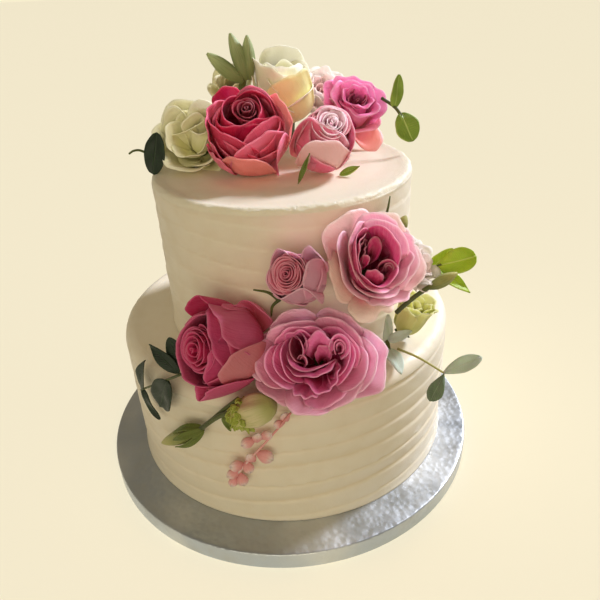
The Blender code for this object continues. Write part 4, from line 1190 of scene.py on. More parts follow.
        petal(1.1, [(160, 128, 17), (164, 134, 21), (172, 135, 23), (184, 132, 25), (196, 126, 26),
        (206, 118, 26), (214, 114, 23)], foot=82, lip=1.4, wave=0.4, waves=2),
        petal(1.2, [(163, 138, 9), (168, 148, 12), (171, 158, 13), (181, 165, 13.5), (192, 168, 13.5),
        (200, 167, 10)], lean=64, wave=0.45, waves=2),
        petal(1.2, [(192, 166, 10), (203, 171, 13), (214, 172, 13.5), (222, 166, 14), (227, 155, 14),
        (226, 142, 11)], lean=60, wave=0.45, waves=2),
    ],
}


def swirl(centre, radius, rings, low, high, seed=0.0, depth=(0.6, 0.2), oval=(1.0, 0.0), lip=0.5):
    """The tight turns in a rose's middle, as short overlapping petals. oval is a stretch and its angle."""
    made = []
    stretch, angle = oval[0], radians(oval[1])
    for k in range(rings):
        share = k / max(1, rings - 1)
        r = radius * (1.0 - 0.88 * share)
        h = low + (high - low) * sin(pi / 2 * share)
        count = 3 if share < 0.55 else 2
        for j in range(count):
            start = 137.0 * k + 360.0 * j / count + seed * 50 + 25 * frac_noise(k, j + int(seed))
            span = 360.0 / count + 50.0
            tip = 0.10 + 0.05 * frac_noise(j, k + int(seed) + 3)
            rim = []
            for i in range(9):
                t = i / 8
                a = radians(start + span * (t - 0.5))
                peak = (1.0 - abs(2 * t - 1) ** 1.5) * tip
                wide = r * (0.95 + 0.16 * (t - 0.5) + peak + 0.05 * sin(2 * a + 1.7 * k + seed))
                x, y = wide * cos(a - angle) * stretch, wide * sin(a - angle)
                dip = 2.2 * abs(2 * t - 1) ** 3 - 0.6 * frac_noise(k + 5, j)
                place = (
                    centre[0] + x * cos(angle) - y * sin(angle), centre[1] + x * sin(angle) + y * cos(angle),
                )
                rim.append((*place, h - dip))
            tone = depth[0] + (depth[1] - depth[0]) * share
            made.append(petal(
                tone, rim, foot=30, lean=8 - 6 * share, lip=lip * (1.0 - 0.5 * share), about=centre,
            ))
    return made


# Each look's middle: radius, turns, lowest and highest rim, seed, depths, oval and lip
SWIRLS = {
    "spray": (9.0, 9, 25.0, 27.0, 1.0, (0.75, 0.3), (1.12, 60), 0.3),
    "coral": (11.5, 6, 37.0, 41.0, 2.0, (0.45, 0.2), (1.1, 80), 0.7),
    "deep": (6.6, 4, 35.0, 36.5, 3.0, (0.35, 0.0), (1.1, 0), 0.55),
    "pale": (10.0, 6, 28.0, 30.5, 4.0, (0.8, 0.4), (1.15, 20), 0.5),
    "bright": (4.5, 2, 24.0, 25.0, 5.0, (0.3, 0.0), (1.3, 0), 0.5),
}
BOWL = {"r0": 0.12, "z0": 0.04, "lean0": 84}

CLOSED_BACK = [
    {
        **BOWL, "n": 4, "start": 60, "r1": 0.66, "z1": 0.80, "lean1": -10, "half": 58, "bulge": 0.55,
        "lip": 1.0, "depth": 0.8,
    },
    {
        **BOWL, "n": 5, "start": 10, "r1": 0.80, "z1": 0.68, "lean1": 0, "half": 47, "bulge": 0.52,
        "lip": 1.0, "depth": 1.0,
    },
]

BUD_BACK = [
    {
        **BOWL, "n": 3, "start": 20, "r1": 0.45, "z1": 0.72, "lean1": -30, "half": 72, "bulge": 0.6,
        "lip": 0.3, "depth": 0.9,
    },
    {
        **BOWL, "n": 3, "start": 80, "r1": 0.66, "z1": 0.58, "lean1": -12, "half": 64, "bulge": 0.58,
        "depth": 1.0,
    },
]

OPEN_ROSE = [
    {"n": 3, "start": 30, "r1": 0.10, "z1": 0.64, "lean1": -4, "half": 80, "spiral": 0.3, "fine": 0.7},
    {
        "n": 3, "start": 0, "r1": 0.24, "z1": 0.72, "lean1": -4, "half": 70, "spiral": 0.2, "number": 0,
        "fine": 0.8,
    },
    {
        "n": 4, "start": 45, "r1": 0.46, "z1": 0.84, "lean1": 10, "half": 58, "spiral": 0.12, "number": 1,
        "wave": 0.7, "waves": 3,
    },
    {
        "n": 5, "start": 0, "r1": 0.74, "z1": 0.88, "lean1": 28, "half": 46, "spiral": 0.08, "lean0": 70,
        "wave": 1.0, "number": 2, "lip": 1.2,
    },
    {
        **BOWL, "n": 5, "start": 30, "r1": 0.98, "z1": 0.72, "lean1": 40, "half": 46, "wave": 1.0,
        "number": 3, "lip": 1.2,
    },
]

GOBLET_ROSE = [
    {"n": 3, "start": 0, "r1": 0.22, "z1": 0.86, "lean1": -10, "half": 80, "spiral": 0.15, "number": 0},
    {
        "n": 3, "start": 60, "r1": 0.52, "z1": 0.96, "lean1": 4, "half": 66, "spiral": 0.10, "point": 0.06,
        "number": 1, "lip": 1.0,
    },
    {
        **BOWL, "n": 4, "start": 15, "r1": 0.88, "z1": 0.90, "lean1": 20, "half": 56, "point": 0.05,
        "roll": 1.5, "number": 2, "lip": 1.4,
    },
]

GOBLET_BACK = [
    {
        "n": 3, "start": 60, "r1": 0.42, "z1": 0.78, "lean1": 4, "half": 66, "spiral": 0.10, "point": 0.06,
        "number": 1, "lip": 1.0,
    },
    {
        **BOWL, "n": 4, "start": 15, "r1": 0.70, "z1": 0.66, "lean1": 16, "half": 56, "point": 0.05,
        "number": 2, "lip": 1.4,
    },
]

RUFFLED_BACK = [
    {
        "n": 4, "start": 70, "r1": 0.48, "z1": 0.82, "lean1": 14, "half": 58, "wave": 0.6, "waves": 2,
        "lean0": 40,
    },
    {
        "n": 5, "start": 30, "r1": 0.80, "z1": 0.80, "lean1": 36, "half": 52, "wave": 0.8, "waves": 2,
        "lean0": 60, "z0": 0.06,
    },
]

TRUMPET_BLOOM = [
    {"n": 3, "start": 60, "r1": 0.25, "z1": 0.86, "lean1": 0, "half": 80, "spiral": 0.2, "wave": 0.4},
    {
        "n": 4, "start": 70, "r1": 0.64, "z1": 0.94, "lean1": 18, "half": 60, "lean0": 40, "wave": 0.8,
        "waves": 3, "z0": 0.06,
    },
    {
        "n": 4, "start": 30, "r1": 0.95, "z1": 0.95, "lean1": 30, "half": 58, "lean0": 45, "z0": 0.04,
        "number": 1, "wave": 0.9, "waves": 3,
    },
]


def head(layers, centre, azimuth, elevation, radius, height, spin, look, stem):
    return {
        "layers": layers,
        "centre": centre,
        "azimuth": azimuth,
        "elevation": elevation,
        "radius": radius,
        "height": height,
        "spin": spin,
        "look": look,
        "stem": stem,
    }


HEADS = {
    "rose_cupped_ledge": head([], (44, -89.5, 168), 16, 37, 28.5, 36.0, 10, "cupped", 12),
    "rose_garden_ledge": head([], (14, -101, 126), -5, 41, 30.0, 33.0, 0, "garden", 8),
    "bud_pink_ledge": head(BUD_BACK, (6.5, -90, 167), -26, 29, 17.0, 29.0, 0, "spray", 10),
    "rose_coral_ledge": head(CLOSED_BACK, (-35.5, -89.5, 130), -48, 26, 25.0, 43.0, 30, "coral", 4),
    "rose_deep_pink_top": head(CLOSED_BACK, (-12.5, -12.5, 220), 0, 43, 23.8, 40.0, 0, "deep", 4),
    "bud_pale_pink_top": head(BUD_BACK, (27.5, -22, 215), 16, 45, 20.0, 33.0, 40, "pale", 2),
    "rose_bright_pink_top": head([], (51.5, 23, 216.5), 2, 27, 24.5, 33.0, 0, "bright", 8),
    "rose_white_top": head(GOBLET_BACK, (11, 25, 235), -8, 52, 22.0, 42.0, 25, "white", 16),
    "bloom_white_top": head(RUFFLED_BACK, (-46, 9, 212.5), -16, 34, 27.0, 34.0, 0, "ivory", 4),
    "rose_blush_back": head(OPEN_ROSE, (35, 47, 227), 15, 50, 17.0, 30.0, 15, "blush", 14),
    "rose_cream_back": head(GOBLET_ROSE, (-20.5, 44, 232), -15, 48, 14.0, 32.0, 0, "dusk", 14),
    "bloom_cream_right": head(TRUMPET_BLOOM, (73, -56, 119), 60, 70, 12.0, 26.0, 0, "cream", 0),
    "flower_peach_right": head(OPEN_ROSE, (71, -58, 152), 55, 30, 15.0, 28.0, 0, "peach", 4),
}

SIDE_LIT_HEADS = ("rose_garden_ledge", "rose_cupped_ledge", "rose_deep_pink_top")
LIT_HEADS = (
    "bud_pale_pink_top",
    "rose_bright_pink_top",
    "rose_white_top",
    "bloom_white_top",
    "rose_blush_back",
    "rose_cream_back",
)

# heart, deep and foot are partly the rose's own deeper colour and partly painted shade deep in the cup; rim
# is partly a paler edge and partly a painted highlight.
PETAL_ZONES = ("heart", "body", "outer", "guard", "rim", "deep", "foot")


def look(slot, *colours, vein=0.24):
    """A head's material slot and the colours of its petals by zone, each of red, green and blue up to 255."""
    return {"slot": slot, "vein": vein, **dict(zip(PETAL_ZONES, colours))}


LOOKS = {
    "garden": look(
        "petals_pink", (150, 0, 66), (246, 116, 178), (249, 180, 210), (254, 230, 234),
        (254, 222, 230), (184, 0, 88), (240, 116, 160),
    ),
    "cupped": look(
        "petals_pink", (102, 0, 36), (208, 50, 118), (250, 186, 208), (253, 224, 208),
        (254, 228, 220), (140, 0, 54), (246, 150, 168),
    ),
    "spray": look(
        "petals_pink", (192, 54, 104), (246, 140, 168), (248, 180, 208), (246, 186, 200),
        (250, 200, 208), (190, 44, 86), (244, 180, 188),
    ),
    "coral": look(
        "petals_coral", (198, 10, 90), (226, 92, 146), (226, 108, 146), (228, 140, 148),
        (252, 156, 188), (190, 8, 76), (232, 116, 124),
    ),
    "deep": look(
        "petals_deep_pink", (112, 0, 32), (204, 4, 74), (252, 128, 160), (250, 146, 140),
        (244, 140, 164), (150, 0, 34), (244, 130, 136),
    ),
    "pale": look(
        "petals_pale_pink", (254, 206, 226), (255, 222, 236), (236, 96, 134), (250, 196, 196),
        (255, 236, 238), (240, 100, 138), (252, 190, 180),
    ),
    "bright": look(
        "petals_bright_pink", (136, 2, 62), (248, 116, 182), (252, 142, 198), (252, 160, 150),
        (254, 204, 224), (206, 12, 104), (250, 146, 156),
    ),
    "white": look(
        "petals_white", (244, 240, 190), (252, 250, 226), (253, 247, 216), (238, 230, 158),
        (255, 254, 238), (230, 224, 160), (240, 226, 160), vein=0.1,
    ),
    # Ivory: guard and foot darkened as painted shade under the bloom.
    "ivory": look(
        "petals_white", (236, 232, 186), (252, 248, 208), (252, 248, 208), (208, 200, 126),
        (254, 252, 226), (230, 228, 170), (206, 200, 134), vein=0.1,
    ),
    "blush": look(
        "petals_pale_pink", (252, 208, 208), (255, 240, 238), (255, 244, 238), (253, 222, 206),
        (254, 232, 222), (250, 180, 184), (252, 236, 220),
    ),
    "dusk": look(
        "petals_pale_pink", (226, 214, 160), (234, 226, 180), (236, 230, 180), (236, 230, 180),
        (248, 238, 206), (214, 190, 140), (230, 226, 170),
    ),
    "cream": look(
        "petals_white", (222, 218, 140), (228, 228, 142), (230, 230, 146), (226, 226, 140),
        (250, 248, 216), (200, 200, 110), (190, 200, 116), vein=0.12,
    ),
    "peach": look(
        "petals_peach", (250, 204, 200), (255, 244, 238), (255, 246, 238), (254, 240, 228),
        (254, 236, 216), (248, 186, 188), (246, 220, 180),
    ),
}


# Stems, leaves and buds


def side_of(direction, hint=(0.31, 0.22, 0.93)):
    side = np.cross(direction, hint)
    side /= np.linalg.norm(side)
    return side, np.cross(side, direction)


def tube_parts(points, radius, tip=1.0, sides=10, knots=0.0):
    """Points, faces and values of a stem with closed round ends."""
    path = smooth_path(points)
    count = len(path)
    ahead = np.gradient(path, axis=0)
    ahead /= np.linalg.norm(ahead, axis=1)[:, None]
    rows, along = [], []
    for k in range(count):
        side, up = side_of(ahead[k])
        share = k / (count - 1)
        r = radius * (1 + (tip - 1) * share) * (1 + knots * sin(9.0 * share + radius))
        a = np.linspace(0, 2 * pi, sides, endpoint=False)[:, None]
        rows.append(path[k] + r * (np.cos(a) * side + np.sin(a) * up))
        along.append(np.full(sides, share))
    ends = [path[0] - ahead[0] * radius * 0.4, path[-1] + ahead[-1] * radius * tip * 0.5]
    grid = np.concatenate(rows + [np.array(ends)])
    faces = [tuple(f) for f in grid_faces(sides, count, wrap=True)]
    low, high = count * sides, count * sides + 1
    for s in range(sides):
        faces.append((low, (s + 1) % sides, s))
        faces.append((high, (count - 1) * sides + s, (count - 1) * sides + (s + 1) % sides))
    along = np.concatenate(along + [np.array([0.0, 1.0])])
    around = np.tile(np.arange(sides) * (2 * pi / sides) * radius, count)
    grain = np.stack([np.append(around, [0, 0]), along * 20.0, np.zeros(len(along))], 1)
    return grid, faces, {"along": along, "across": np.full(len(along), 0.4), "grain": grain}


def bud_parts(base, tip, radius, profile, sides=24, folds=5, twist=1.2, fold_depth=0.07, seed=0.0):
    """A closed bud: rings from base to tip with twisted lengthwise folds."""
    base, tip = np.asarray(base, float), np.asarray(tip, float)
    run = tip - base
    side, up = side_of(run / np.linalg.norm(run), (0.2, 0.1, 1.0))
    shares = np.array([p[0] for p in profile])
    widths = np.array([p[1] for p in profile])
    rows, along, grain = [], [], []
    steps = np.linspace(0, 1, 26)
    a = np.linspace(0, 2 * pi, sides, endpoint=False)
    for v in steps:
        wide = np.interp(v, shares, widths)
        ridge = 1 + fold_depth * np.sin(folds * a + twist * 2 * pi * v + seed) * sin(pi * min(1.0, v * 1.1))
        r = radius * wide * ridge
        rows.append(base + run * v + r[:, None] * (np.cos(a)[:, None] * side + np.sin(a)[:, None] * up))
        along.append(np.full(sides, v))
        grain.append(np.stack(
            [
                a * radius + twist * v * 4 + seed, np.full(sides, v * np.linalg.norm(run)),
                np.full(sides, seed),
            ],
            1,
        ))
    grid = np.concatenate(rows + [np.array([base, tip])])
    faces = [tuple(f) for f in grid_faces(sides, len(steps), wrap=True)]
    low, high = len(steps) * sides, len(steps) * sides + 1
    last = (len(steps) - 1) * sides
    for s in range(sides):
        faces.append((low, (s + 1) % sides, s))
        faces.append((high, last + s, last + (s + 1) % sides))
    along = np.concatenate(along + [np.array([0.0, 1.0])])
    grain = np.concatenate(grain + [np.zeros((2, 3))])
    return grid, faces, {"along": along, "across": np.full(len(along), 0.4), "grain": grain}


def leaf_parts(
    base, tip, width, facing, bend=0.0, fold=0.12, blunt=0.8, wavy=0.5, seed=0.0, columns=12, rows=26,
    taper=0.75,
):
    """A leaf sheet whose upper side faces facing, with a sunken midrib."""
    base, tip, facing = (np.asarray(x, float) for x in (base, tip, facing))
    run = tip - base
    length = np.linalg.norm(run)
    along = run / length
    across = np.cross(along, facing)
    across /= np.linalg.norm(across)
    up = np.cross(across, along)
    u, v = np.meshgrid(np.linspace(-1, 1, columns + 1), np.linspace(0, 1, rows + 1))
    half = width / 2 * (0.05 + 0.95 * np.maximum(0.0, np.sin(pi * v**blunt)) ** taper)
    half = half * (1 + 0.03 * ripple(v * 3.0, u, seed, 2.0))
    lift = bend * length * np.sin(pi * v) + fold * np.abs(u) * half + wavy * np.sin(7.0 * v + 2.0 * u)
    groove = 0.25 * np.exp(-((u / 0.10) ** 2)) * (1 - v)
    lift += 0.25 * ripple(u * 1.5, v * 4.0, seed + 1.0) * width / 10 - groove
    grid = base + along * (v * length)[..., None] + across * (u * half)[..., None] + up * lift[..., None]
    values = {
        "along": v.ravel(),
        "across": u.ravel(),
        "grain": np.stack([np.abs(u) * width / 2, v * length, np.full_like(u, seed)], -1).reshape(-1, 3),
    }
    return grid.reshape(-1, 3), [tuple(f) for f in grid_faces(columns + 1, rows + 1)], values


def joined(name, parts):
    """One mesh object from several sets of points, faces and values."""
    points, faces, data, start = [], [], {}, 0
    for grid, some, values in parts:
        points.append(grid)
        faces += [tuple(int(i) + start for i in f) for f in some]
        start += len(grid)
        for key, value in values.items():
            data.setdefault(key, []).append(value)
    return mesh_piece(name, np.concatenate(points), faces, {k: np.concatenate(v) for k, v in data.items()})


CLOSED_BUD = (
    (0.0, 0.35), (0.1, 0.62), (0.22, 0.85), (0.4, 0.98), (0.5, 1.0), (0.65, 0.92), (0.8, 0.7), (0.92, 0.42),
    (1.0, 0.16),
)
OPEN_BUD = (
    (0.0, 0.4), (0.08, 0.68), (0.15, 0.85), (0.3, 0.97), (0.45, 1.0), (0.6, 0.95), (0.75, 0.85), (0.9, 0.7),
    (1.0, 0.55),
)

SEEDS = (
    (-4.5, -108.6, 96.0, 5.0, 110),
    (-7.5, -108.2, 92.5, 4.6, 190),
    (-16.5, -107.0, 83.5, 5.6, 30),
    (-20.5, -106.4, 81.5, 5.6, 80),
    (-24.5, -105.5, 79.5, 6.2, 200),
    (-18.5, -106.4, 69.5, 7.4, -28),
    (-24.5, -105.4, 66.5, 5.6, 120),
    (-27.5, -104.8, 61.0, 5.8, -70),
    (-32.0, -103.6, 60.5, 6.6, 170),
    (-35.0, -102.6, 54.5, 6.0, 200),
    (-31.5, -103.6, 51.0, 6.2, -80),
    (-36.0, -102.2, 48.5, 5.4, 240),
)


def seed_parts(centre, size, direction, seed):
    """A plump heart-shaped seed leaf, notched at its far end."""
    rows, columns = 12, 18
    a = np.linspace(0, 2 * pi, columns, endpoint=False)
    heading = np.asarray(direction, float) / np.linalg.norm(direction)
    side, up = side_of(heading, (0.1, -1.0, 0.2))
    rings, along = [], []
    for v in np.linspace(0, 1, rows):
        wide = sin(pi * min(1.0, v * 1.02)) ** 0.6 * (0.45 + 0.55 * v)
        notch = 0.35 * np.maximum(0, 1 - np.abs(np.cos(a)) * 2.2) * max(0.0, v - 0.6) / 0.4
        r_side = size * 0.62 * wide * np.cos(a)
        r_up = size * 0.34 * wide * np.sin(a)
        step = heading * (size * 1.3 * (v - 0.4)) - heading * (size * notch)[:, None] * 0.8
        rings.append(np.asarray(centre, float) + step + r_side[:, None] * side + r_up[:, None] * up)
        along.append(np.full(columns, v))
    grid = np.concatenate(rings)
    faces = [tuple(f) for f in grid_faces(columns, rows, wrap=True)]
    faces.append(tuple(range(columns))[::-1])
    faces.append(tuple((rows - 1) * columns + k for k in range(columns)))
    along = np.concatenate(along)
    grain = np.stack([np.tile(a, rows) * size, along * size, np.full(len(along), seed)], 1)
    return grid, faces, {"along": along, "across": np.full(len(along), 0.4), "grain": grain}


# A stem's depth in the icing, the overlap of its two parts, and its radius as a share of the cup's
STEM_DEPTH = 3.0
STEM_OVERLAP = 2.0
STEM_SHARE = 0.45


def icing_top(x, y):
    """Height of the icing under a point: the upper tier's top, or else the lower tier's."""
    across = x - (UPPER_LOW[0] + UPPER_HIGH[0]) / 2
    deep = y - (UPPER_LOW[1] + UPPER_HIGH[1]) / 2
    return UPPER_HIGH[2] if np.hypot(across, deep) < UPPER_RADIUS else LOWER_HIGH[2]


def calyx_parts(spec, sepals=5):
    """The green cup, its sepals and the stem stub under a head."""
    turn = aim(spec["azimuth"], spec["elevation"], spec["spin"])
    radius, height = spec["radius"], spec["height"]
    centre = np.asarray(spec["centre"], float)
    cup = max(3.0, 0.2 * radius)

    def placed(points):
        return np.asarray(points, float) @ turn.T + centre - turn[:, 2] * 0.5 * height

    parts = []
    last = -1.0 - spec["stem"]
    path = [(0, 0, 0.12 * height), (0, 0, 0.04 * height), (0, 0, -1.0 - 0.5 * spec["stem"]), (0, 0, last)]
    grid, faces, values = tube_parts(path, cup, tip=STEM_SHARE, sides=14)
    parts.append((placed(grid), faces, values))
    start, end = placed([(0, 0, last + STEM_OVERLAP), (0, 0, last)])
    top = icing_top(end[0], end[1])
    if end[2] > top:
        half_way = (end[0], end[1], (end[2] + top) / 2)
        drop = [tuple(start), tuple(end), half_way, (end[0], end[1], top - STEM_DEPTH)]
        parts.append(tube_parts(drop, STEM_SHARE * cup, tip=0.85, sides=14))
    for k in range(sepals):
        a = 2 * pi * k / sepals + 0.3
        ring = radius * 0.42
        base = (cup * 0.5 * cos(a), cup * 0.5 * sin(a), 0.5)
        tip = (ring * cos(a + 0.15), ring * sin(a + 0.15), 0.02 * height + 1.2 * sin(3.0 * k))
        facing = (-0.2 * cos(a), -0.2 * sin(a), 1.0)
        grid, faces, values = leaf_parts(
            base, tip, 0.16 * radius + 1.5, facing, bend=-0.06, blunt=0.6, seed=k, columns=6, rows=12,
        )
        parts.append((placed(grid), faces, values))
    return parts


# Operators


class CAKE_OT_board(bpy.types.Operator):
    """Builds the foil board"""

    bl_idname = "cake.board"
    bl_label = "Foil board"

    def execute(self, context):
        settings = context.scene.cake_board
        finish_piece(board_piece(settings), foil_material(settings), "board_foil", "cake_board")
        return {"FINISHED"}


class CAKE_OT_tiers(bpy.types.Operator):
    """Builds both iced tiers"""

    bl_idname = "cake.tiers"
    bl_label = "Iced tiers"

    def execute(self, context):
        settings = context.scene.cake_icing
        icing = icing_material(settings)
        for name, node, low, high, edge, seed in (
            ("bottom_tier_icing", "bottom_tier", LOWER_LOW, LOWER_HIGH, 7.0, 0.0),
            ("top_tier_icing", "top_tier", UPPER_LOW, UPPER_HIGH, 3.0, 2.0),
        ):
            centre = ((low[0] + high[0]) / 2, (low[1] + high[1]) / 2)
            radius = (high[0] - low[0]) / 2 - 1.0
            obj = tier_piece(name, centre, radius, low[2], high[2], edge, settings, seed)
            finish_piece(obj, icing, "buttercream", node)
        return {"FINISHED"}


class CAKE_OT_flowers(bpy.types.Operator):
    """Builds every flower head with its green cup"""

    bl_idname = "cake.flowers"
    bl_label = "Flower heads"

    def execute(self, context):
        settings = context.scene.cake_flowers
        greens = context.scene.cake_greens
        tint = tuple(settings.tint)
        cup_green = leaf_material("sepal_green", linear(66, 80, 38), linear(110, 120, 66), linear(86, 98, 50))
        materials = {}
        for name, spec in HEADS.items():
            look = LOOKS[spec["look"]]
            if spec["look"] not in materials:
                materials[spec["look"]] = petal_material("petals_" + spec["look"], look, tint)
            petals = head_piece(name + "_petals", spec, settings.petal_detail)
            thicken(petals, settings.petal_thickness)
            finish_piece(petals, materials[spec["look"]], look["slot"], name)
            calyx = joined(name + "_calyx", calyx_parts(spec))
            thicken(calyx, greens.leaf_thickness)
            finish_piece(calyx, cup_green, "bud_green", name)
        return {"FINISHED"}


class CAKE_OT_greens(bpy.types.Operator):
    """Builds the leaves, sprigs and buds"""

    bl_idname = "cake.greens"
    bl_label = "Leaves, sprigs and buds"

    def execute(self, context):
        settings = context.scene.cake_greens
        dark = leaf_material("leaf_dark", settings.dark_leaf, linear(54, 70, 50), linear(46, 62, 48), 0.45)
        silver = leaf_material(
            "leaf_silver", settings.silver_leaf, linear(206, 216, 196), linear(192, 208, 188), 0.5,
        )
        fresh = leaf_material(
            "leaf_fresh", linear(176, 202, 36), linear(214, 226, 120), linear(146, 176, 40), 0.4,
        )
        bright = leaf_material(
            "leaf_bright", settings.bright_leaf, linear(206, 220, 130), linear(116, 142, 58), 0.42,
        )
        sage = leaf_material(
            "leaf_sage", linear(104, 120, 96), linear(146, 160, 136), linear(128, 142, 118), 0.5,
        )
        sepal = leaf_material(
            "leaf_sepal", linear(98, 112, 46), linear(140, 150, 78), linear(116, 128, 58), 0.5,
        )
        bud = bud_material(
            "bud_green", settings.bud, linear(196, 190, 112), linear(186, 184, 110), linear(86, 98, 42),
        )
        stem = bud_material(
            "stem_green", linear(78, 88, 36), linear(88, 98, 44), linear(106, 118, 56), linear(58, 68, 28),
        )
        pale_stem = bud_material(
            "stem_pale", linear(176, 172, 96), linear(182, 178, 104), linear(196, 190, 120),
            linear(140, 140, 70),
        )
        dim_bud = bud_material(
            "bud_dim", linear(140, 156, 100), linear(192, 206, 150), linear(116, 134, 84),
            linear(116, 132, 80),
        )
        open_bud = bud_material(
            "bud_cream", linear(224, 212, 168), linear(208, 208, 120), linear(188, 188, 120),
            linear(176, 176, 104),
        )
        pink = bud_material(
            "sprig_pink", linear(246, 176, 176), linear(254, 236, 232), linear(236, 148, 152),
            linear(228, 142, 144),
        )
        thickness = settings.leaf_thickness

        def leaves(name, node, slot, material, *rows):
            obj = joined(name, [leaf_parts(*row[:4], **row[4], seed=k * 2.3) for k, row in enumerate(rows)])
            thicken(obj, thickness)
            finish_piece(obj, material, slot, node)

        def stems(name, node, slot, material, *rows):
            finish_piece(joined(name, [tube_parts(*row) for row in rows]), material, slot, node)

        def buds(name, node, slot, material, *rows, **how):
            parts = [bud_parts(*row, CLOSED_BUD, seed=k * 1.9, **how) for k, row in enumerate(rows)]
            finish_piece(joined(name, parts), material, slot, node)

        node = "bud_open_green"
        parts = [bud_parts(
            (-10, -113, 110), (-31, -108, 98), 8.0, OPEN_BUD, folds=5, twist=0.5, fold_depth=0.15,
        )]
        finish_piece(joined(node + "_shell", parts), open_bud, "bud_green", node)
        frill = []
        axis = np.array([-0.83, 0.2, -0.5])
        side, up = side_of(axis, (0.2, 0.1, 1.0))
        middle = np.array([-28.5, -108.6, 99.4])
        for k in range(36):
            ring, row = 2 * pi * k / 12 + 0.3 * (k // 12), k // 12
            out = np.cos(ring) * side + np.sin(ring) * up
            base = middle + out * (2.4 + 2.0 * row) - axis * (0.5 + 2.8 * row)
            spread = 4.4 + 1.8 * row + 0.9 * sin(2.7 * k)
            rise = 4.8 - 3.8 * row + 1.0 * sin(1.9 * k)
            tip = middle + out * spread + axis * rise
            frill.append(leaf_parts(base, tip, 4.2, out * 0.6 + axis * 0.6, 0.14, 0.3, 1.3, 1.0, k, 8, 10))
        obj = joined(node + "_frill", frill)
        thicken(obj, thickness)
        frill_green = leaf_material(
            "frill_green", linear(178, 190, 84), linear(210, 214, 124), linear(150, 162, 70),
        )
        finish_piece(obj, frill_green, "bud_green", node)

        node = "bud_closed_green"
        buds(
            node + "_shell", node, "bud_green", bud, ((-50, -97.5, 83.5), (-77, -81.5, 62), 4.5), folds=5,
            twist=0.45, fold_depth=0.12,
        )
        stems(
            node + "_stems", node, "bud_green", stem,
            ([(-52, -96.5, 82.5), (-40, -103, 96), (-26, -109, 106)], 1.4, 0.9),
            ([(-51, -97, 83), (-38, -101.5, 98), (-28, -104, 108)], 1.2, 0.9),
        )
        leaves(
            node + "_leaves", node, "bud_green", sepal,
            ((-37, -104.5, 98), (-34, -104, 87), 4.0, (0, -1, 0.2), {}),
            (
                (-49, -98.5, 84.5), (-68, -92.2, 73.2), 4.4, (-0.35, -0.8, 0.5),
                {"bend": 0.13, "blunt": 0.7, "wavy": 0.1},
            ),
            (
                (-49, -98.5, 83.5), (-67.3, -92.4, 68.2), 4.4, (-0.2, -0.9, -0.4),
                {"bend": 0.13, "blunt": 0.7, "wavy": 0.1},
            ),
            (
                (-49, -97.5, 85), (-67.8, -89, 75), 4.4, (-0.3, -0.2, 0.9),
                {"bend": 0.13, "blunt": 0.7, "wavy": 0.1},
            ),
        )

        node = "sprig_pink"
        stems(
            node + "_stem", node, "sprig_pink", pink,
            (
                [(-2, -113, 103), (-9.5, -108.6, 89), (-18, -107, 77), (-26, -105.2, 66), (-33, -103.4, 55)],
                0.6,
            ),
        )
        grains = []
        for k, (x, y, z, size, angle) in enumerate(SEEDS):
            heading = (cos(radians(angle)), -0.2, sin(radians(angle)))
            grains.append(seed_parts((x, y, z), 1.15 * size, heading, 1.7 * k))
        finish_piece(joined(node + "_seeds", grains), pink, "sprig_pink", node)

        out = (-0.75, -0.6, 0.3)
        node = "sprig_left"
        stems(
            node + "_stem", node, "leaf_dark", stem,
            ([(-57, -91.5, 117), (-72, -80, 104), (-87, -65, 89)], 0.8, 0.7),
        )
        leaves(
            node + "_leaves", node, "leaf_dark", dark,
            ((-86.5, -65, 90), (-78.5, -75, 116), 9.0, out, {"bend": 0.05}),
            ((-86, -65.5, 90), (-77, -75.5, 74.5), 7.0, out, {"bend": 0.05}),
            (
                (-66, -85.5, 109), (-74, -79, 87), 18.0, (-0.7, -0.75, 0.2),
                {"bend": 0.04, "blunt": 1.1, "taper": 0.5},
            ),
        )
        leaves(
            "leaves_dark_left_pair", "leaves_dark_left", "leaf_dark", dark,
            ((-59, -85, 113), (-74, -76, 127), 8.0, (-0.5, -0.75, 0.5), {"bend": 0.05}),
            (
                (-56, -84, 115), (-63, -77, 131), 12.0, (-0.5, -0.75, 0.5),
                {"blunt": 0.95, "wavy": 0.3, "taper": 0.6},
            ),
        )
        node = "bud_green_right"
        stems(
            node + "_stem", node, "bud_green", stem,
            ([(60, -72, 132), (67, -71, 138), (73, -70, 142), (80, -69, 146)], 1.3),
        )
        buds(
            node + "_shell", node, "bud_green", bud, ((78, -69.5, 144.5), (93, -69.5, 152.5), 3.3), folds=5,
            twist=0.5, fold_depth=0.12,
        )
        side = (0.35, -0.75, 0.55)
        node = "leaves_bright_right"
        stems(
            node + "_stem", node, "leaf_bright", stem,
            ([(76, -51, 138), (82, -55, 147), (88, -57.5, 152)], 1.0),
        )
        leaves(
            node + "_blades", node, "leaf_bright", fresh,
            ((86, -57, 151), (106, -60.5, 157), 14.0, side, {"bend": 0.06, "blunt": 1.3, "taper": 0.45}),
            ((82, -54, 148), (94, -57, 161), 9.0, side, {"bend": 0.05}),
            ((85, -56, 149), (103, -65, 137), 8.0, side, {"bend": 0.05}),
        )
        node = "leaves_silver_ledge"
        stems(
            node + "_stem", node, "leaf_silver", stem,
            ([(57, -60, 107.5), (57, -66, 109.5), (57, -72, 107)], 1.2),
        )
        leaves(
            node + "_blades", node, "leaf_silver", silver,
            ((56.5, -66, 108), (58.5, -60, 124), 6.5, (0.3, -0.9, 0.3), {"bend": 0.05}),
            ((57, -66, 110), (71, -67, 116), 6.0, (0.0, -0.8, 0.6), {"bend": 0.05}),
            ((57, -70, 108), (59.5, -91, 104.6), 10.0, (0.3, -0.6, 0.7), {"bend": 0.03, "wavy": 0.2}),
        )
        node = "sprig_right"
        stems(
            node + "_stem", node, "leaf_silver", pale_stem,
            ([(60, -79, 113), (70, -88, 112), (81.5, -97.5, 107.5)], 0.7, 0.8),
        )
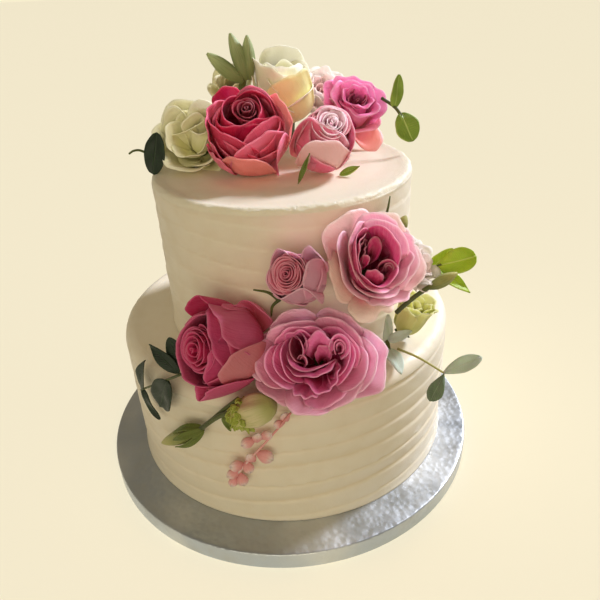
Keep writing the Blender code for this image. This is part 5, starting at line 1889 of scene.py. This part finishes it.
        leaves(
            node + "_blades", node, "leaf_silver", silver,
            (
                (80.5, -97, 107.5), (100.3, -98, 116.7), 8.5, (0.3, -0.5, 0.8),
                {"bend": 0.04, "blunt": 1.3, "taper": 0.6},
            ),
        )
        leaves(
            node + "_low_blade", node, "leaf_silver", sage,
            (
                (81, -97.5, 107.5), (72.4, -104.2, 95.4), 8.5, (-0.2, -0.9, 0.4),
                {"bend": 0.04, "blunt": 1.7, "taper": 0.55},
            ),
        )
        node = "leaf_top_left"
        leaves(
            node + "_blade", node, "leaf_dark", dark,
            (
                (-70.6, -1.8, 196.8), (-65.5, 3.2, 219.6), 13.0, (-0.3, -0.9, 0.2),
                {"bend": 0.02, "blunt": 0.95, "taper": 0.5, "fold": 0.04, "wavy": 0.2},
            ),
        )
        stems(
            node + "_twig", node, "leaf_dark", stem,
            ([(-69, 2, 206), (-76, 2.5, 210), (-80, 1.5, 210.5), (-83, 1.2, 209)], 0.8, 0.7),
        )
        node = "leaves_top_right"
        stems(
            node + "_stem", node, "leaf_bright", stem,
            ([(68, 19, 228), (75.5, 15.7, 223), (80, 14, 217)], 1.0),
        )
        leaves(
            node + "_blades", node, "leaf_bright", bright,
            ((75, 15.5, 222.5), (78, 18, 241), 8.5, (0.3, -0.9, 0.2), {"bend": 0.04}),
            (
                (78.5, 14.5, 219.5), (86, 9, 203.5), 15.5, (0.2, -0.9, 0.3),
                {"bend": 0.04, "blunt": 1.1, "taper": 0.5},
            ),
        )
        node = "buds_green_top"
        stems(
            node + "_stem", node, "bud_green", stem, ([(-16, 34, 228), (-15, 32, 238), (-12, 31, 248)], 2.2),
        )
        buds(
            node + "_shells", node, "bud_green", dim_bud,
            ((-14, 31, 240), (-34, 31, 257), 4.4),
            ((-12, 31, 241), (-19.5, 33, 267), 4.4),
            ((-10, 31.5, 241), (-9.7, 33, 265.5), 4.0),
            folds=3, twist=0.15, fold_depth=0.12,
        )
        leaves(
            "sepal_top_left_blade", "sepal_top_left", "leaf_bright", sepal,
            ((12.0, -36.3, 196.8), (18.8, -37, 213), 2.6, (-0.3, -0.8, 0.5), {}),
        )
        leaves(
            "sepal_top_right_blade", "sepal_top_right", "leaf_bright", bright,
            ((35.8, -26.6, 196.8), (47, -28, 201.5), 4.5, (0.2, -0.6, 0.8), {"wavy": 0.2}),
        )
        stems(
            "tip_green_wall_stem", "tip_green_wall", "leaf_bright", stem,
            ([(51, -67, 180), (55, -64, 188), (57, -61, 195)], 1.1, 0.3),
        )
        buds(
            "bud_green_wall_shell", "bud_green_wall", "bud_green", bud,
            ((61, -63, 175), (66, -60, 183.5), 3.0),
        )
        stems(
            "sepals_dark_wall_tips", "sepals_dark_wall", "leaf_dark", stem,
            ([(-3, -80.5, 150), (-8.5, -80, 155), (-16, -78.5, 156.5)], 1.1, 0.4),
            ([(-3, -80.5, 151), (-7, -80.5, 147), (-8, -80, 141)], 1.1, 0.4),
        )
        return {"FINISHED"}


# Each light's azimuth, elevation and softness in degrees, and its colour
KEY_LIGHT = (122.0, 33.0, 12.0, (1.0, 1.03, 1.14))
FILL_LIGHT = (-12.0, 9.0, 50.0, (1.0, 0.9, 0.66))
PETAL_LIGHT = (75.0, 50.0, 30.0, (1.0, 0.98, 0.95))
SIDE_LIGHT = (82.0, 28.0, 30.0, (1.0, 0.98, 0.95))
FLOOR_LIGHT = (0.0, 80.0, 60.0, (1.03, 1.08, 1.2))
# Sizes of the floor and the backdrop, in millimetres, and the backdrop's faces
FLOOR_REACH = 20000.0
BACKDROP_REACH = 15000.0
BACKDROP_ROWS = 12
BACKDROP_COLUMNS = 32


class CAKE_OT_stage(bpy.types.Operator):
    """Sets the floor, the light and the camera"""

    bl_idname = "cake.stage"
    bl_label = "Stage"

    def execute(self, context):
        scene = context.scene
        settings = scene.cake_stage
        extent = FLOOR_REACH
        corners = [(-extent, -extent, 0), (extent, -extent, 0), (extent, extent, 0), (-extent, extent, 0)]
        floor = mesh_piece("floor", corners, [(0, 1, 2, 3)], smooth=False)
        paint = Nodes("floor_paint")
        shade = paint.noise(paint.place(), 1.5, 2.0)
        colour = tuple(settings.floor)
        paint.link(
            paint.mix(shade, colour, tuple(c * 0.995 for c in colour)), paint.shader.inputs["Base Color"],
        )
        paint.set(Roughness=0.9, Specular_IOR_Level=0.1)
        floor.data.materials.append(paint.material)

        rows, columns, far = BACKDROP_ROWS, BACKDROP_COLUMNS, BACKDROP_REACH
        dome = []
        for k in range(rows):
            level = pi / 2 * (k / (rows - 1)) * 0.98 - 0.02
            for j in range(columns):
                a = 2 * pi * j / columns
                dome.append((far * cos(level) * cos(a), far * cos(level) * sin(a), far * sin(level)))
        dome_faces = [tuple(f) for f in grid_faces(columns, rows, wrap=True)]
        dome_faces.append(tuple(range((rows - 1) * columns, rows * columns)))
        backdrop = mesh_piece("backdrop", dome, dome_faces)
        glow = bpy.data.materials.new("backdrop_paint")
        glow.use_nodes = True
        shader = glow.node_tree.nodes["Principled BSDF"]
        shader.inputs["Base Color"].default_value = (0.0, 0.0, 0.0, 1.0)
        shader.inputs["Specular IOR Level"].default_value = 0.0
        shader.inputs["Emission Color"].default_value = (*colour, 1.0)
        shader.inputs["Emission Strength"].default_value = 1.0
        backdrop.data.materials.append(glow)
        for ray in ("diffuse", "glossy", "transmission", "volume_scatter", "shadow"):
            setattr(backdrop, "visible_" + ray, False)

        world = bpy.data.worlds.new("studio")
        scene.world = world
        world.use_nodes = True
        sky = world.node_tree.nodes["Background"]
        sky.inputs["Color"].default_value = (*tuple(settings.sky), 1.0)
        sky.inputs["Strength"].default_value = settings.sky_strength

        def sun(name, strength, azimuth, elevation, softness, colour):
            """A soft light from a direction. Azimuth 0 is the front, +90 the right."""
            data = bpy.data.lights.new(name, "SUN")
            data.energy = strength
            data.angle = radians(softness)
            data.color = colour
            light = bpy.data.objects.new(name, data)
            a, e = radians(azimuth), radians(elevation)
            towards = Vector((sin(a) * cos(e), -cos(a) * cos(e), sin(e)))
            light.rotation_euler = towards.to_track_quat("Z", "Y").to_euler()
            scene.collection.objects.link(light)
            return light

        key = sun("key", settings.key_strength, *KEY_LIGHT)
        fill = sun("fill", settings.fill_strength, *FILL_LIGHT)
        lift = sun("petal_light", settings.petal_light, *PETAL_LIGHT)
        side = sun("side_light", settings.petal_light, *SIDE_LIGHT)
        wash = sun("floor_wash", settings.wash_strength, *FLOOR_LIGHT)
        ground = bpy.data.collections.new("ground")
        ground.objects.link(floor)
        wash.light_linking.receiver_collection = ground
        wash.light_linking.blocker_collection = ground
        others = bpy.data.collections.new("all_but_ground")
        others.objects.link(floor)
        others.collection_objects[0].light_linking.link_state = "EXCLUDE"
        key.light_linking.receiver_collection = others
        fill.light_linking.receiver_collection = others
        for light, names in ((lift, LIT_HEADS), (side, SIDE_LIT_HEADS)):
            heads = bpy.data.collections.new(light.name + "_heads")
            for name in names:
                heads.objects.link(bpy.data.objects[name + "_petals"])
            light.light_linking.receiver_collection = heads
        floor.visible_diffuse = False

        camera = bpy.data.cameras.new("camera")
        camera.lens = settings.lens
        camera.sensor_width = CAMERA_SENSOR
        camera.clip_start, camera.clip_end = CAMERA_CLIP
        view = bpy.data.objects.new("camera", camera)
        view.matrix_world = Matrix.Translation(Vector(CAMERA_PLACE) * MM) @ camera_turn().to_4x4()
        scene.collection.objects.link(view)
        scene.camera = view
        scene.view_settings.view_transform = "Standard"
        return {"FINISHED"}


class CAKE_PT_panel(bpy.types.Panel):
    """Lists the pieces and their settings"""

    bl_label = "Tiered rose cake"
    bl_idname = "CAKE_PT_panel"
    bl_space_type = "VIEW_3D"
    bl_region_type = "UI"
    bl_category = "Cake"

    def draw(self, context):
        layout = self.layout
        scene = context.scene
        for operator, settings in (
            ("cake.board", scene.cake_board),
            ("cake.tiers", scene.cake_icing),
            ("cake.flowers", scene.cake_flowers),
            ("cake.greens", scene.cake_greens),
            ("cake.stage", scene.cake_stage),
        ):
            box = layout.box()
            box.operator(operator)
            for key in settings.__annotations__:
                box.prop(settings, key)


GROUPS = {
    "cake_icing": CakeIcing,
    "cake_board": CakeBoard,
    "cake_flowers": CakeFlowers,
    "cake_greens": CakeGreens,
    "cake_stage": CakeStage,
}
OPERATORS = (CAKE_OT_board, CAKE_OT_tiers, CAKE_OT_flowers, CAKE_OT_greens, CAKE_OT_stage)


def register():
    for key, group in GROUPS.items():
        bpy.utils.register_class(group)
        setattr(bpy.types.Scene, key, PointerProperty(type=group))
    for item in (*OPERATORS, CAKE_PT_panel):
        bpy.utils.register_class(item)


def unregister():
    for item in (CAKE_PT_panel, *reversed(OPERATORS)):
        bpy.utils.unregister_class(item)
    for key, group in GROUPS.items():
        delattr(bpy.types.Scene, key)
        bpy.utils.unregister_class(group)


def main():
    register()
    bpy.ops.cake.board()
    bpy.ops.cake.tiers()
    bpy.ops.cake.flowers()
    bpy.ops.cake.greens()
    bpy.ops.cake.stage()


if __name__ == "__main__":
    main()
